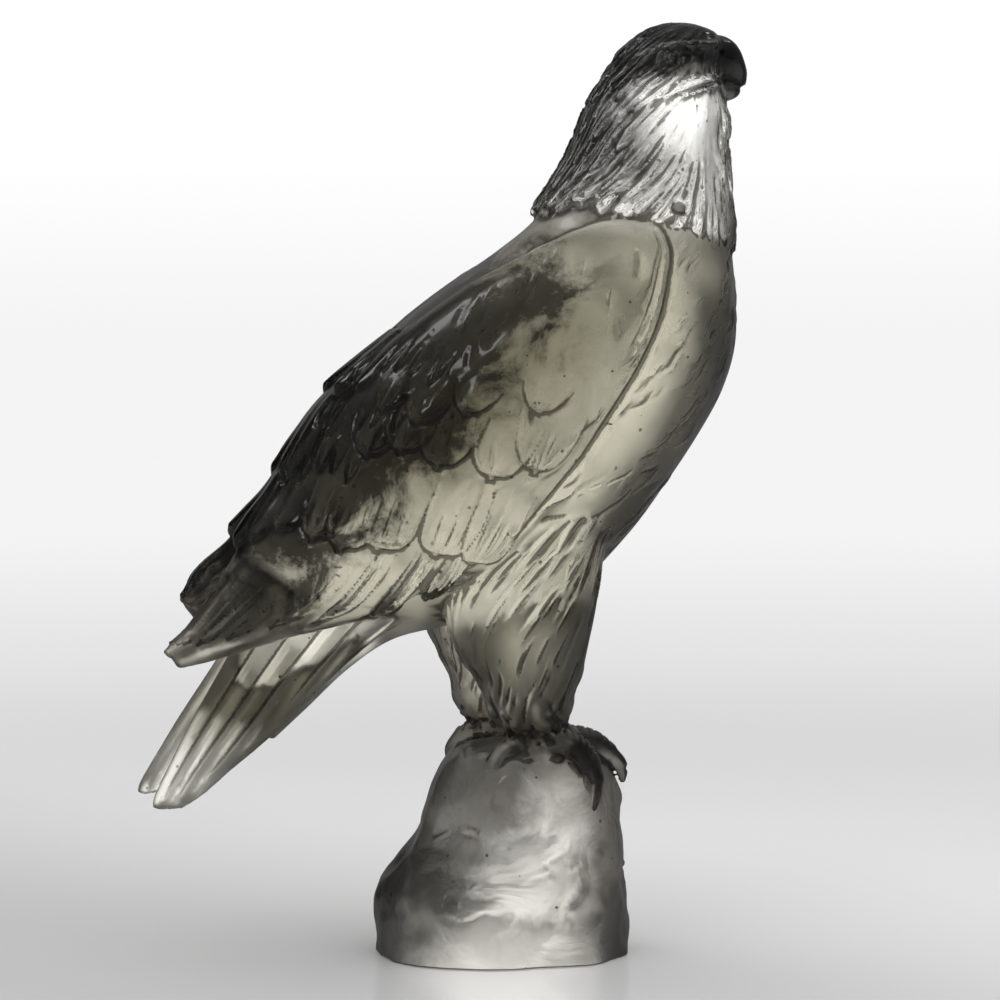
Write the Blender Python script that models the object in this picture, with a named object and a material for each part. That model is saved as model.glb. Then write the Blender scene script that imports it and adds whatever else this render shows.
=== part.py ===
"""A cast crystal eagle perched on a rock, one closed solid standing on its flat underside.

The eagle is built like a wax model: smooth closed forms for trunk, neck, legs and rock, with
feathers laid over them in overlapping rows, all pressed together into one skin. The bird's
forms are written in hundredths of its own height, measured from the soles of its feet, and the
rock's in metres. The bird faces +X, its right side looks to -Y, and the origin is the middle of
the rock's flat underside.
"""

import math

import bmesh
import bpy
import numpy as np
from mathutils import Vector, noise

# Driving sizes, in metres.
BIRD_HEIGHT = 0.2177  # soles to crown
ROCK_HEIGHT = 0.0623  # underside to the soles
ROCK_LENGTH = 0.0765  # along X, near the foot
ROCK_WIDTH = 0.0680  # along Y, near the foot
ROCK_ROUGHNESS = 0.0016  # depth of the worked facets
WING_THICKNESS = 0.0024  # how far a folded wing stands off the body
FEATHER_LIFT = 0.0017  # how far a feather's tip stands off the next row
HACKLE_LIFT = 0.0026  # the ragged neck feathers stand off further
CLAY_VOXEL = 0.0012  # fineness of the pressed skin
MOST_TRIANGLES = 9800

UNIT = BIRD_HEIGHT / 100
SIDES = 40

# Rows of a form: back x, back z, front x, front z, half width, widest place from the back.
BODY = (
    (7.0, 78.0, 31.5, 75.5, 10.5, 0.50),
    (5.2, 73.2, 32.2, 69.2, 13.6, 0.50),
    (-0.2, 68.6, 32.8, 61.5, 17.2, 0.48),
    (-6.6, 64.2, 32.7, 55.2, 19.0, 0.46),
    (-13.0, 59.2, 31.0, 49.2, 19.4, 0.45),
    (-19.1, 53.6, 27.8, 43.3, 19.0, 0.45),
    (-24.6, 48.0, 23.3, 36.6, 18.2, 0.45),
    (-28.5, 42.2, 17.6, 29.1, 16.9, 0.45),
    (-32.0, 36.0, 10.0, 21.8, 15.2, 0.45),
)
TRUNK_END = (
    (-33.2, 31.5, 1.7, 18.6, 12.6, 0.45),
    (-33.9, 27.0, -8.0, 16.8, 9.8, 0.45),
    (-34.4, 21.5, -15.6, 15.0, 7.6, 0.45),
    (-35.6, 16.0, -21.8, 11.0, 6.2, 0.45),
    (-37.5, 10.5, -27.0, 6.2, 4.8, 0.45),
    (-40.2, 4.5, -32.0, 1.6, 3.0, 0.45),
)
# The folded wings end in tips of their own; the left one is shorter and held a little off.
WING_END = {
    -1: (
        (-35.0, 32.0, 3.0, 19.2, 14.4, 0.45),
        (-38.2, 27.2, -8.2, 14.6, 12.4, 0.45),
        (-42.0, 21.4, -24.4, 13.2, 9.6, 0.45),
        (-45.3, 16.8, -36.2, 12.2, 7.4, 0.45),
        (-48.3, 13.8, -45.6, 12.2, 5.4, 0.50),
    ),
    1: (
        (-34.7, 32.4, 3.0, 19.2, 14.8, 0.45),
        (-38.0, 28.6, -8.2, 15.4, 13.2, 0.45),
        (-41.8, 25.2, -24.0, 16.0, 11.4, 0.45),
        (-43.4, 22.0, -34.0, 16.8, 9.4, 0.45),
        (-43.9, 20.2, -41.0, 17.2, 7.4, 0.50),
    ),
}
# Upper and lower edge of the folded wing, in degrees round the body from the back, from the
# shoulder to the tip, with the place along the body that each pair belongs to.
WING_EDGES = (
    (0.90, 66.0, 88.0),
    (1.05, 54.0, 95.0),
    (1.40, 42.0, 100.0),
    (2.00, 29.0, 103.0),
    (3.00, 19.0, 108.0),
    (4.00, 14.0, 111.0),
    (6.00, 11.0, 114.0),
    (8.00, 10.0, 111.0),
    (9.00, 11.0, 110.0),
    (10.0, 14.0, 110.0),
    (11.0, 19.0, 110.0),
    (12.0, 27.0, 112.0),
    (13.0, 40.0, 120.0),
)
NECK = (
    (4.2, 70.0, 31.6, 66.6, 11.0, 0.50),
    (5.2, 73.8, 32.2, 70.0, 12.2, 0.50),
    (6.8, 77.0, 32.3, 74.2, 12.0, 0.50),
    (8.6, 80.6, 32.2, 78.0, 11.0, 0.50),
    (10.7, 85.4, 32.0, 82.6, 9.4, 0.50),
    (12.2, 88.8, 32.2, 86.6, 8.3, 0.50),
    (13.9, 91.9, 31.6, 89.0, 7.5, 0.52),
    (15.3, 94.2, 30.6, 91.4, 7.3, 0.54),
    (17.0, 96.4, 30.2, 94.2, 7.0, 0.55),
    (19.8, 98.6, 30.6, 96.8, 5.9, 0.56),
    (22.8, 99.8, 30.2, 98.6, 4.0, 0.56),
    (25.2, 100.1, 27.6, 99.8, 1.2, 0.50),
)
EYE = (7.58, 74.0)
# Places on the head, with a turn in degrees and a height off the skin.
BROW = ((8.1, 44, -0.9), (8.3, 66, -0.1), (8.5, 92, 0.3), (8.8, 120, 0.2), (9.1, 150, 0.0))
GAPE = ((5.5, 80, 0.0), (6.3, 99, 0.2), (6.9, 122, 0.2), (7.0, 140, 0.0))
# The ragged rim of the neck feathers: a turn in degrees, and the place where the tip hangs.
RIM = (
    (4, 1.05), (20, 1.15), (38, 1.40), (52, 1.62), (66, 1.22), (78, 1.28), (90, 1.06), (99, 0.84),
    (108, 1.08), (116, 0.72), (128, 0.46), (140, 0.80), (153, 0.55), (167, 0.68), (178, 0.58),
)
# The right half of the tail: its inner edge, its outer edge and half its thickness.
TAIL = (
    (-33.0, -1.0, 22.0, -16.0, -7.0, 18.0, 2.2),
    (-36.2, -1.8, 17.2, -20.9, -8.8, 14.8, 2.0),
    (-40.4, -3.3, 10.4, -27.0, -10.2, 9.8, 1.8),
    (-44.3, -4.9, 4.0, -34.2, -11.4, 3.4, 1.6),
    (-47.4, -6.4, -1.6, -39.6, -11.8, -0.8, 1.4),
    (-49.2, -7.4, -4.9, -43.1, -11.6, -3.9, 1.2),
    (-49.7, -8.4, -6.4, -46.0, -10.6, -6.1, 0.8),
)
TAIL_FEATHERS = 5
# The thigh: height, rear x, front x, middle y, half width.
THIGH = (
    (41.0, 2.0, 9.0, 4.0, 2.5),
    (36.5, -2.5, 12.2, 5.2, 5.4),
    (32.0, -5.5, 13.2, 6.0, 6.9),
    (28.0, -7.4, 13.0, 6.8, 7.3),
    (24.5, -8.8, 12.4, 7.4, 7.5),
    (21.5, -9.5, 11.7, 7.8, 7.8),
    (18.5, -9.5, 11.1, 8.1, 7.8),
    (15.6, -8.8, 10.4, 8.4, 7.5),
    (12.3, -7.0, 9.7, 8.4, 6.8),
    (10.2, -5.4, 9.1, 8.4, 6.2),
    (8.2, -4.6, 8.4, 8.4, 5.5),
    (5.4, -3.2, 7.6, 8.4, 4.7),
    (3.4, -2.0, 7.1, 8.4, 4.2),
)
THIGH_ROWS = ((21.5, 14.5, 6), (17.5, 11.5, 7), (14.5, 8.2, 7), (11.2, 5.0, 7), (8.4, 2.8, 8))
STANCE = {1: -2.0, -1: 0.0}  # how far each foot is set forward: left, then right
# Each toe from the ankle to its knuckle, then its claw: middle, outer, inner and hind toe.
TOES = (
    (((3.0, 8.2, 0.6), (7.0, 7.6, 1.6), (11.0, 6.6, 1.0), (14.0, 6.0, -1.0)),
     ((13.6, 6.0, -0.6), (15.6, 5.8, -2.6), (15.8, 5.7, -5.0))),
    (((3.0, 8.6, 0.6), (6.0, 10.4, 1.4), (8.4, 12.2, 0.4), (9.8, 13.2, -2.0)),
     ((9.6, 13.1, -1.6), (10.2, 14.4, -4.0), (9.6, 14.6, -7.6))),
    (((3.0, 7.6, 0.6), (7.0, 5.0, 1.4), (10.6, 2.6, 0.6), (12.2, 1.6, -1.0)),
     ((12.0, 1.7, -0.6), (13.8, 1.0, -2.4), (14.2, 0.8, -4.6))),
    (((3.0, 8.6, 0.6), (0.0, 9.2, 0.9), (-2.0, 9.6, 0.0)),
     ((-1.8, 9.6, 0.2), (-3.2, 10.0, -1.6), (-3.4, 10.1, -3.6))),
)
# Rock: share of its height, rear x and front x as shares of half its length, half width as a
# share of half its breadth.
ROCK = (
    (-0.06, -0.96, 0.97, 0.96),
    (0.04, -0.98, 0.99, 0.99),
    (0.20, -0.98, 0.98, 1.00),
    (0.34, -0.93, 0.97, 0.98),
    (0.46, -0.80, 0.95, 0.94),
    (0.60, -0.65, 0.94, 0.89),
    (0.74, -0.56, 0.92, 0.86),
    (0.86, -0.50, 0.88, 0.84),
    (0.94, -0.43, 0.80, 0.78),
    (1.00, -0.32, 0.66, 0.64),
    (1.03, -0.10, 0.40, 0.30),
)


def curve_through(rows, place):
    """Rows of numbers read as one smooth curve, at any place along it."""
    rows = np.asarray(rows, float)
    last = len(rows) - 1
    place = np.clip(np.asarray(place, float), 0, last)
    first = np.minimum(place.astype(int), last - 1)
    t = (place - first)[..., None]
    before, after = rows[np.maximum(first - 1, 0)], rows[np.minimum(first + 2, last)]
    start, end = rows[first], rows[first + 1]
    return 0.5 * (
        2 * start
        + (end - before) * t
        + (2 * before - 5 * start + 4 * end - after) * t**2
        + (3 * start - before - 3 * end + after) * t**3
    )


def skin(form, place, turn):
    """Points of a lofted form: a place along its rows, and a turn round it, 0 at the back."""
    place, turn = np.broadcast_arrays(np.asarray(place, float), np.asarray(turn, float))
    row = curve_through(form, place)
    share = 0.5 - 0.5 * np.cos(turn)
    share = share + 4 * (row[..., 5] - 0.5) * share * (1 - share)
    middle = row[..., 0:2] + (row[..., 2:4] - row[..., 0:2]) * share[..., None]
    side = row[..., 4] * np.sin(turn)
    return np.stack([middle[..., 0], side, middle[..., 1]], axis=-1)


def outward(form, place, turn):
    """Unit normals of a lofted form, pointing away from it."""
    step = 0.02
    along = skin(form, place + step, turn) - skin(form, place - step, turn)
    around = skin(form, place, turn + step) - skin(form, place, turn - step)
    normal = np.cross(around, along)
    row = curve_through(form, place)
    centre = (row[..., 0:2] + row[..., 2:4]) / 2
    away = skin(form, place, turn) - np.stack(
        [centre[..., 0], np.zeros_like(centre[..., 0]), centre[..., 1]], axis=-1
    )
    normal *= np.sign(np.sum(normal * away, axis=-1, keepdims=True))
    return normal / np.linalg.norm(normal, axis=-1, keepdims=True)


def off_skin(form, place, turn, height):
    """Points a given height off a lofted form; the height is in hundredths too."""
    return skin(form, place, turn) + outward(form, place, turn) * np.asarray(height)[..., None]


class Clay:
    """Closed forms gathered into one mesh."""

    def __init__(self):
        self.points = []
        self.faces = []
        self.count = 0

    def loft(self, rings):
        """Adds the closed form through a run of rings, each with the same number of points."""
        rings = np.asarray(rings, float)
        rows, around = rings.shape[:2]
        ends = rings[[0, -1]].mean(axis=1)
        self.points += [rings.reshape(-1, 3), ends]
        grid = self.count + np.arange(rows * around).reshape(rows, around)
        turned = np.roll(grid, -1, axis=1)
        for row in range(rows - 1):
            quads = zip(grid[row], turned[row], turned[row + 1], grid[row + 1])
            self.faces += [tuple(map(int, quad)) for quad in quads]
        first, last = self.count + rows * around, self.count + rows * around + 1
        self.faces += [(int(b), int(a), first) for a, b in zip(grid[0], turned[0])]
        self.faces += [(int(a), int(b), last) for a, b in zip(grid[-1], turned[-1])]
        self.count += rows * around + 2

    def tube(self, path, radii, flat=1.0, steps=14, around=12):
        """Adds a round limb along a smooth path; flat squeezes it from above."""
        path = curve_through(path, np.linspace(0, len(path) - 1, steps))
        radii = curve_through(np.asarray(radii, float)[:, None], np.linspace(0, len(radii) - 1, steps))
        forward = np.gradient(path, axis=0)
        forward /= np.linalg.norm(forward, axis=1, keepdims=True)
        side = np.cross(forward, (0.0, 0.0, 1.0))
        short = np.linalg.norm(side, axis=1) < 0.2
        side[short] = (0.0, 1.0, 0.0)
        side /= np.linalg.norm(side, axis=1, keepdims=True)
        up = np.cross(side, forward)
        angle = np.linspace(0, 2 * math.pi, around, endpoint=False)[None, :, None]
        across = side[:, None] * np.cos(angle) + up[:, None] * np.sin(angle) * flat
        self.loft(path[:, None] + across * radii[:, None])

    def bird_object(self, name):
        """The clay as an object, its hundredths turned into metres above the rock."""
        points = np.concatenate(self.points) * UNIT
        points[:, 2] += ROCK_HEIGHT
        mesh = bpy.data.meshes.new(name)
        mesh.from_pydata(points.tolist(), [], self.faces)
        work = bmesh.new()
        work.from_mesh(mesh)
        bmesh.ops.recalc_face_normals(work, faces=work.faces)
        work.to_mesh(mesh)
        work.free()
        made = bpy.data.objects.new(name, mesh)
        bpy.context.scene.collection.objects.link(made)
        return made


def rings_of(form, start, end, steps):
    """Rings of a lofted form between two places along it."""
    place = np.linspace(start, end, steps)[:, None]
    turn = np.linspace(0, 2 * math.pi, SIDES, endpoint=False)[None, :]
    return skin(form, place, turn)


def feather(clay, form, root, tip, half_width, side, lift, tilt=0.0, sink=1.2, point=0.35):
    """Lays one feather on a form.

    root and tip are a place along the form and a turn round it, in degrees. The feather rises
    from the skin at its root to its lift at the tip, tilt raises its lower edge over the next
    feather, and point is the share of its length that rounds off to the tip.
    """
    rows, columns = 10, 7
    t = np.linspace(0, 1, rows)[:, None]
    v = np.linspace(-1, 1, columns)[None, :]
    place = root[0] + (tip[0] - root[0]) * t
    middle = np.radians(root[1] + (tip[1] - root[1]) * t)
    near_tip = np.clip((t - (1 - point)) / point, 0, 1)
    outline = (0.62 + 0.38 * np.clip(t / 0.5, 0, 1)) * np.sqrt(np.clip(1 - near_tip**2.2, 0.01, 1))
    girth = np.linalg.norm(skin(form, place, middle + 0.05) - skin(form, place, middle - 0.05), axis=-1) / 0.1
    turn = side * (middle + v * half_width * outline / girth)
    place = np.broadcast_to(place, turn.shape)
    rise = lift * (0.25 + 0.75 * t) * (1 - 0.35 * v**2) + tilt * v * (0.3 + 0.7 * t)
    rise = np.where(t >= 1, rise * 0.6, rise)
    top = off_skin(form, place, turn, rise)
    bottom = off_skin(form, place, turn, np.full_like(rise, -sink))
    clay.loft(np.concatenate([top, bottom[:, ::-1]], axis=1))


def feather_row(clay, form, side, count, turns, tips, length, lift, tilt, sweep=6.0, point=0.35):
    """Lays a row of feathers whose tips follow a curve across the form.

    turns are the first and last tip's turn in degrees, tips the places of the first, middle
    and last tip along the form, length the feathers' length along it, and sweep how many
    degrees a feather leans round the form on each step of its length.
    """
    spacing = abs(turns[1] - turns[0]) / (count - 1)
    overlap = 1.3
    for number in range(count):
        t = number / (count - 1)
        turn = turns[0] + (turns[1] - turns[0]) * t
        tip = float(curve_through(np.array(tips)[:, None], t * (len(tips) - 1))[0])
        near, far = skin(form, tip, math.radians(turn + 3)), skin(form, tip, math.radians(turn - 3))
        girth = np.linalg.norm(near - far) / 6
        root = (tip - length, turn - sweep * length)
        feather(clay, form, root, (tip, turn), 0.5 * overlap * spacing * girth, side, lift, tilt, point=point)


def trunk(clay):
    """Chest, back and belly, closing under the tail."""
    form = BODY + TRUNK_END
    clay.loft(rings_of(form, 0, len(form) - 1, 60))


def wing_edges(place):
    """Upper and lower edge of the wing, in radians, at each place along the body."""
    edges = np.array(WING_EDGES)
    upper = np.interp(place, edges[:, 0], edges[:, 1])
    lower = np.interp(place, edges[:, 0], edges[:, 2])
    return np.radians(upper), np.radians(lower)


def wing(clay, side):
    """One folded wing: its smooth shell, then its feathers from the long ones up."""
    form = BODY + WING_END[side]
    thick = WING_THICKNESS / UNIT
    place = np.linspace(WING_EDGES[0][0], 12.8, 54)[:, None]
    upper, lower = wing_edges(place)
    v = np.linspace(0, 1, 17)[None, :]
    turn = side * (upper + (lower - upper) * v)
    place = np.broadcast_to(place, turn.shape)
    start = np.clip((place - WING_EDGES[0][0]) / 0.5, 0, 1)
    height = thick * (1 - np.abs(2 * v - 1) ** 6) * (0.3 + 0.7 * np.sqrt(start))
    depth = np.interp(place, (8.0, 9.5, 11.0, 12.8), (1.8, 4.2, 3.0, 0.8))
    top = off_skin(form, place, turn, height)
    bottom = off_skin(form, place, turn, -depth)
    clay.loft(np.concatenate([top, bottom[:, ::-1]], axis=1))
    wing_feathers(clay, form, side)


def wing_feathers(clay, form, side):
    """The wing's rows of feathers, laid from the tip towards the shoulder."""
    thick = WING_THICKNESS / UNIT
    tilt = 0.30 * FEATHER_LIFT / UNIT
    long, coverts = thick + 0.5, thick + FEATHER_LIFT / UNIT
    feather_row(clay, form, side, 9, (46, 114), (12.6, 11.5, 9.5), 3.6, long, tilt, sweep=8.0)
    feather_row(clay, form, side, 8, (14, 108), (9.7, 9.0, 8.3), 3.0, coverts, tilt)
    feather_row(clay, form, side, 8, (8, 104), (7.9, 6.9, 6.5), 2.2, coverts, tilt, point=0.5)
    feather_row(clay, form, side, 6, (14, 90), (5.9, 6.0, 5.5), 1.6, coverts, tilt, point=0.7)


def tail(clay, side):
    """Half of the tail: a long flat lobe whose feathers lie side by side and run off its outer edge."""
    rows = curve_through(TAIL, np.linspace(0, len(TAIL) - 1, 40))
    inner, outer, thick = rows[:, 0:3], rows[:, 3:6], rows[:, 6]
    breadth = np.linalg.norm(outer - inner, axis=1)
    along = np.gradient((inner + outer) / 2, axis=0)
    up = np.cross(outer - inner, along)
    up *= np.sign(up[:, 2:3]) / np.linalg.norm(up, axis=1, keepdims=True)
    rings = []
    for start, end, width, half, above in zip(inner, outer, breadth, thick, up):
        angle = np.linspace(0, 2 * math.pi, 48, endpoint=False)
        share = 0.5 - 0.5 * np.cos(angle)
        across = TAIL_FEATHERS * share * (width / breadth.max()) ** 0.5
        rib = 1 + 0.22 * np.abs(np.sin(math.pi * across)) - 0.12
        height = half * rib * np.sign(np.sin(angle)) * np.abs(np.sin(angle)) ** 0.7
        ring = start + (end - start) * share[:, None] + above * height[:, None]
        rings.append(ring * (1, -side, 1))
    clay.loft(rings)


def neck_and_head(clay):
    """The neck rising to the flat crown, with beak, brows and eyes."""
    clay.loft(rings_of(NECK, 0, len(NECK) - 1, 54))
    beak(clay)
    for side in (1, -1):
        face(clay, side)


def beak(clay):
    """Hooked upper beak and the lower one closed under it."""
    upper = (
        (25.5, 98.2, 92.0, 3.8),
        (28.6, 98.7, 92.4, 3.3),
        (30.8, 98.9, 92.5, 2.9),
        (32.2, 98.5, 92.2, 2.5),
        (33.5, 97.3, 91.7, 2.0),
        (34.3, 95.4, 91.4, 1.3),
        (34.6, 93.8, 92.0, 0.6),
    )
    lower = (
        (26.5, 92.4, 89.2, 3.0),
        (29.5, 92.6, 89.3, 2.6),
        (31.8, 92.4, 89.3, 2.2),
        (33.2, 91.9, 89.8, 1.5),
        (33.8, 91.3, 90.4, 0.8),
    )
    angle = np.linspace(0, 2 * math.pi, 20, endpoint=False)
    for rows, steps in ((upper, 16), (lower, 10)):
        rings = []
        for x, top, bottom, half in curve_through(rows, np.linspace(0, len(rows) - 1, steps)):
            centre, reach = (top + bottom) / 2, (top - bottom) / 2
            bow = 0.25 * reach * np.cos(angle)
            rings.append(np.stack([x - bow, half * np.sin(angle), centre + reach * np.cos(angle)], axis=-1))
        clay.loft(rings)
    clay.tube(((33.2, 0, 94.2), (33.9, 0, 93.0), (34.0, 0, 92.0), (33.8, 0, 91.3)), (1.5, 1.1, 0.7, 0.3))


def face(clay, side):
    """Brow, eye, cheek and the corner of the mouth on one side of the head."""
    brow = [off_skin(NECK, place, side * math.radians(turn), rise) for place, turn, rise in BROW]
    clay.tube(brow, (0.8, 1.1, 1.2, 1.0, 0.7), flat=0.8)
    eye = skin(NECK, EYE[0], side * math.radians(EYE[1]))
    out = outward(NECK, EYE[0], side * math.radians(EYE[1]))
    ahead = np.cross(out, (0.0, 0.0, 1.0)) * -side
    ahead /= np.linalg.norm(ahead)
    up = np.cross(ahead, out) * side
    around = np.linspace(0, 2 * math.pi, 13)
    ring = [eye + out * 0.1 + 1.5 * (ahead * math.cos(a) + 0.85 * up * math.sin(a)) for a in around]
    clay.tube(ring, (0.38, 0.38, 0.38), steps=26, around=8)
    lat = np.linspace(0.05, math.pi - 0.05, 8)[:, None, None]
    lon = around[None, :12, None]
    globe = out * np.cos(lat) + (ahead * np.cos(lon) + up * np.sin(lon)) * np.sin(lat)
    clay.loft(eye - out * 0.45 + 1.15 * globe)
    gape = [off_skin(NECK, place, side * math.radians(turn), rise) for place, turn, rise in GAPE]
    clay.tube(gape, (0.3, 0.6, 0.6, 0.5, 0.3))


def neck_sweep(turn):
    """How many degrees round the neck a feather leans back on each step of its length."""
    return 17 * math.sin(math.pi * min(turn, 150) / 150)


def hackles(clay):
    """Pointed neck feathers in rows, the last row ending in a ragged hanging rim."""
    lift = HACKLE_LIFT / UNIT
    for side in (1, -1):
        for turn, place in RIM:
            root = (place + 2.0, turn + 2.0 * neck_sweep(turn))
            feather(clay, NECK, root, (place, turn), 1.7, side, 0.62 * lift, sink=2.0, point=0.75)
        for row in range(5):
            count = 9 - row
            for number in range(count):
                turn = 10 + 160 * (number + 0.5 * (row % 2)) / count
                place = 1.9 + 0.8 * row + 0.25 * math.sin(5.1 * number + row)
                root = (place + 1.5, turn + 1.5 * neck_sweep(turn))
                feather(clay, NECK, root, (place, turn), 1.35, side, 0.34 * lift, point=0.8)


def leg(clay, side):
    """Feathered thigh, shank, and a foot gripping the rock."""
    ahead = STANCE[side]
    rows = curve_through(THIGH, np.linspace(0, len(THIGH) - 1, 30))
    angle = np.linspace(0, 2 * math.pi, 28, endpoint=False)
    clay.loft([thigh_point(row, angle, side, 0.0) for row in rows])
    shank = [(x + ahead, 8.4 * side, z) for x, z in ((2.4, 6.0), (2.6, 2.8), (3.4, -1.2))]
    clay.tube(shank, (3.3, 3.2, 3.6))
    foot(clay, side, ahead)


def thigh_point(row, angle, side, sink):
    """Points round the thigh at one of its rows, sunk a little under its skin."""
    z, rear, front, middle, half = row
    set_forward = STANCE[side] * np.clip((14.0 - z) / 12.0, 0, 1)
    x = (rear + front) / 2 + set_forward - ((front - rear) / 2 - sink) * np.cos(angle)
    y = side * (middle + (half - sink) * np.sin(angle))
    return np.stack([x, y, np.full_like(x, z)], axis=-1)


def foot(clay, side, ahead):
    """Three toes forward and one back, each with a claw hooked into the rock."""
    for toe, claw in TOES:
        clay.tube([(x + ahead, y * side, z) for x, y, z in toe], (2.3, 2.0, 1.8, 1.5))
        clay.tube([(x + ahead, y * side, z) for x, y, z in claw], (1.3, 1.0, 0.35), steps=8)


def thigh_feathers(clay, side):
    """Loose pointed feathers down the thigh, ending in a hem over the shank."""
    heights = [-row[0] for row in THIGH]
    for row, (top, low, count) in enumerate(THIGH_ROWS):
        for number in range(count):
            angle = 2 * math.pi * (number + 0.5 * (row % 2)) / count
            path = []
            for z in np.linspace(top, low, 5):
                place = np.interp(-z, heights, range(len(THIGH)))
                lean = 0.25 * (top - z) / (top - low)
                path.append(thigh_point(curve_through(THIGH, place), np.float64(angle + lean), side, 0.75))
            clay.tube(path, (0.8, 1.35, 1.2, 0.45), steps=8, around=8)


def rock(clay):
    """The rock: a steep face under the toes and a shoulder sloping down behind."""
    rows = curve_through(ROCK, np.linspace(0, len(ROCK) - 1, 44))
    angle = np.linspace(0, 2 * math.pi, 72, endpoint=False)
    rings = []
    for level, rear, front, breadth in rows:
        half = (front - rear) / 2
        cos, sin = np.cos(angle), np.sin(angle)
        squared = np.sign(cos) * np.abs(cos) ** 0.86
        x = ((front + rear) / 2 + half * squared) * ROCK_LENGTH / 2
        y = breadth * np.sign(sin) * np.abs(sin) ** 0.86 * ROCK_WIDTH / 2
        z = np.full_like(x, level * ROCK_HEIGHT)
        ring = np.stack([x, y, z], axis=-1)
        for number, point in enumerate(ring):
            away = Vector((cos[number], sin[number], 0))
            worked = noise.noise(Vector(point) * 55) + 0.5 * noise.noise(Vector(point) * 120)
            ring[number] = Vector(point) + away * worked * ROCK_ROUGHNESS
        ring[:, 2] -= ROCK_HEIGHT
        rings.append(ring / UNIT)
    clay.loft(rings)


def crystal_material():
    """Smoky grey-olive cast crystal."""
    made = bpy.data.materials.new("crystal")
    made.use_nodes = True
    shader = made.node_tree.nodes["Principled BSDF"]
    shader.inputs["Base Color"].default_value = (0.42, 0.41, 0.36, 1)
    shader.inputs["Roughness"].default_value = 0.18
    shader.inputs["Metallic"].default_value = 0.0
    shader.inputs["IOR"].default_value = 1.51
    shader.inputs["Transmission Weight"].default_value = 0.6
    return made


def underside_cutter():
    """A block that trims everything below the rock's flat underside."""
    depth = 0.02
    bpy.ops.mesh.primitive_cube_add(size=1, location=(0, 0, -depth / 2))
    cutter = bpy.context.object
    cutter.name = "underside_cutter"
    cutter.scale = (3 * ROCK_LENGTH, 3 * ROCK_WIDTH, depth)
    cutter.hide_render = True
    cutter.display_type = "WIRE"
    return cutter


def press_together(figure):
    """One skin round all the forms, softened as a wax is, thinned, and cut flat below."""
    skin_step = figure.modifiers.new("one skin", "REMESH")
    skin_step.mode = "VOXEL"
    skin_step.voxel_size = CLAY_VOXEL
    soften = figure.modifiers.new("soften", "SMOOTH")
    soften.factor = 0.5
    soften.iterations = 1
    graph = bpy.context.evaluated_depsgraph_get()
    faces = sum(len(p.vertices) - 2 for p in figure.evaluated_get(graph).data.polygons)
    thin = figure.modifiers.new("thin out", "DECIMATE")
    thin.ratio = min(1.0, MOST_TRIANGLES / faces)
    flat = figure.modifiers.new("flat underside", "BOOLEAN")
    flat.operation = "DIFFERENCE"
    flat.object = underside_cutter()


def main():
    for old in list(bpy.data.objects):
        bpy.data.objects.remove(old, do_unlink=True)
    clay = Clay()
    trunk(clay)
    neck_and_head(clay)
    hackles(clay)
    for side in (1, -1):
        wing(clay, side)
        tail(clay, side)
        leg(clay, side)
        thigh_feathers(clay, side)
    rock(clay)
    figure = clay.bird_object("crystal_eagle")
    figure.data.materials.append(crystal_material())
    press_together(figure)


main()
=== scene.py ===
"""The looks of a cast crystal eagle perched on a rock.

The casting is laid in clay as closed forms and feathers, pressed into one skin, engraved with
the fine strokes of its plumage, thinned and cut flat below. It is dressed as smoky crystal with
bubbles sealed in it, and stands on a pale floor in soft studio light. The bird's forms are in
hundredths of its own height, measured from the soles of its feet; everything else is in metres.
"""

from __future__ import annotations

import logging
import math
from dataclasses import dataclass, field
from enum import Enum
from typing import Callable, Sequence

import bmesh
import bpy
import numpy as np
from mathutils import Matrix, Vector, kdtree, noise

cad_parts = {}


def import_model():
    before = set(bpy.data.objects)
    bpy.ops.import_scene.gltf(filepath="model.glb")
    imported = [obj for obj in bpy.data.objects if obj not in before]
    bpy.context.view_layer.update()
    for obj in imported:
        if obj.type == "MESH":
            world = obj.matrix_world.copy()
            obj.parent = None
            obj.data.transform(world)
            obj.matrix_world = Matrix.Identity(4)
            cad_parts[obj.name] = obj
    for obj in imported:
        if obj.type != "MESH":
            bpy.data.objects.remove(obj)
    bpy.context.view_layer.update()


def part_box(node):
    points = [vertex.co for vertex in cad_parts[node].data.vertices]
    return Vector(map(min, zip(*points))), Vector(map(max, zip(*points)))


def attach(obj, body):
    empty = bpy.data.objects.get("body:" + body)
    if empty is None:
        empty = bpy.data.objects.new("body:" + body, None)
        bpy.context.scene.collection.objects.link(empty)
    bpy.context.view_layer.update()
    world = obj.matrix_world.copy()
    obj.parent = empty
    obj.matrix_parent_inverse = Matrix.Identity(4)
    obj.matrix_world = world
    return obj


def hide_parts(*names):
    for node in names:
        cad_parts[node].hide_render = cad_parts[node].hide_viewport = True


LOG = logging.getLogger("crystal eagle")
NODE = "crystal_eagle"
BODY_NAME = "root"
# The attributes that say how far a point stands above the skin around it, from -1 to 1: the
# second only looks at the nearest skin, so it finds thin edges.
RELIEF = "relief"
CREST = "crest"
CASTING_NAME = "crystal_casting"
# Every turn round a form, in radians.
CIRCLE = (0.0, math.tau)

Number = float | np.ndarray
Rows = tuple[tuple[float, ...], ...]
Points = Sequence[Sequence[float]]
Socket = bpy.types.NodeSocket


class Side(Enum):
    """A side of the bird, as the sign of its Y."""

    LEFT = 1
    RIGHT = -1

    def turn(self, degrees: Number) -> Number:
        """Gives a turn round the bird on this side, in radians."""
        return self.value * np.radians(degrees)


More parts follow.
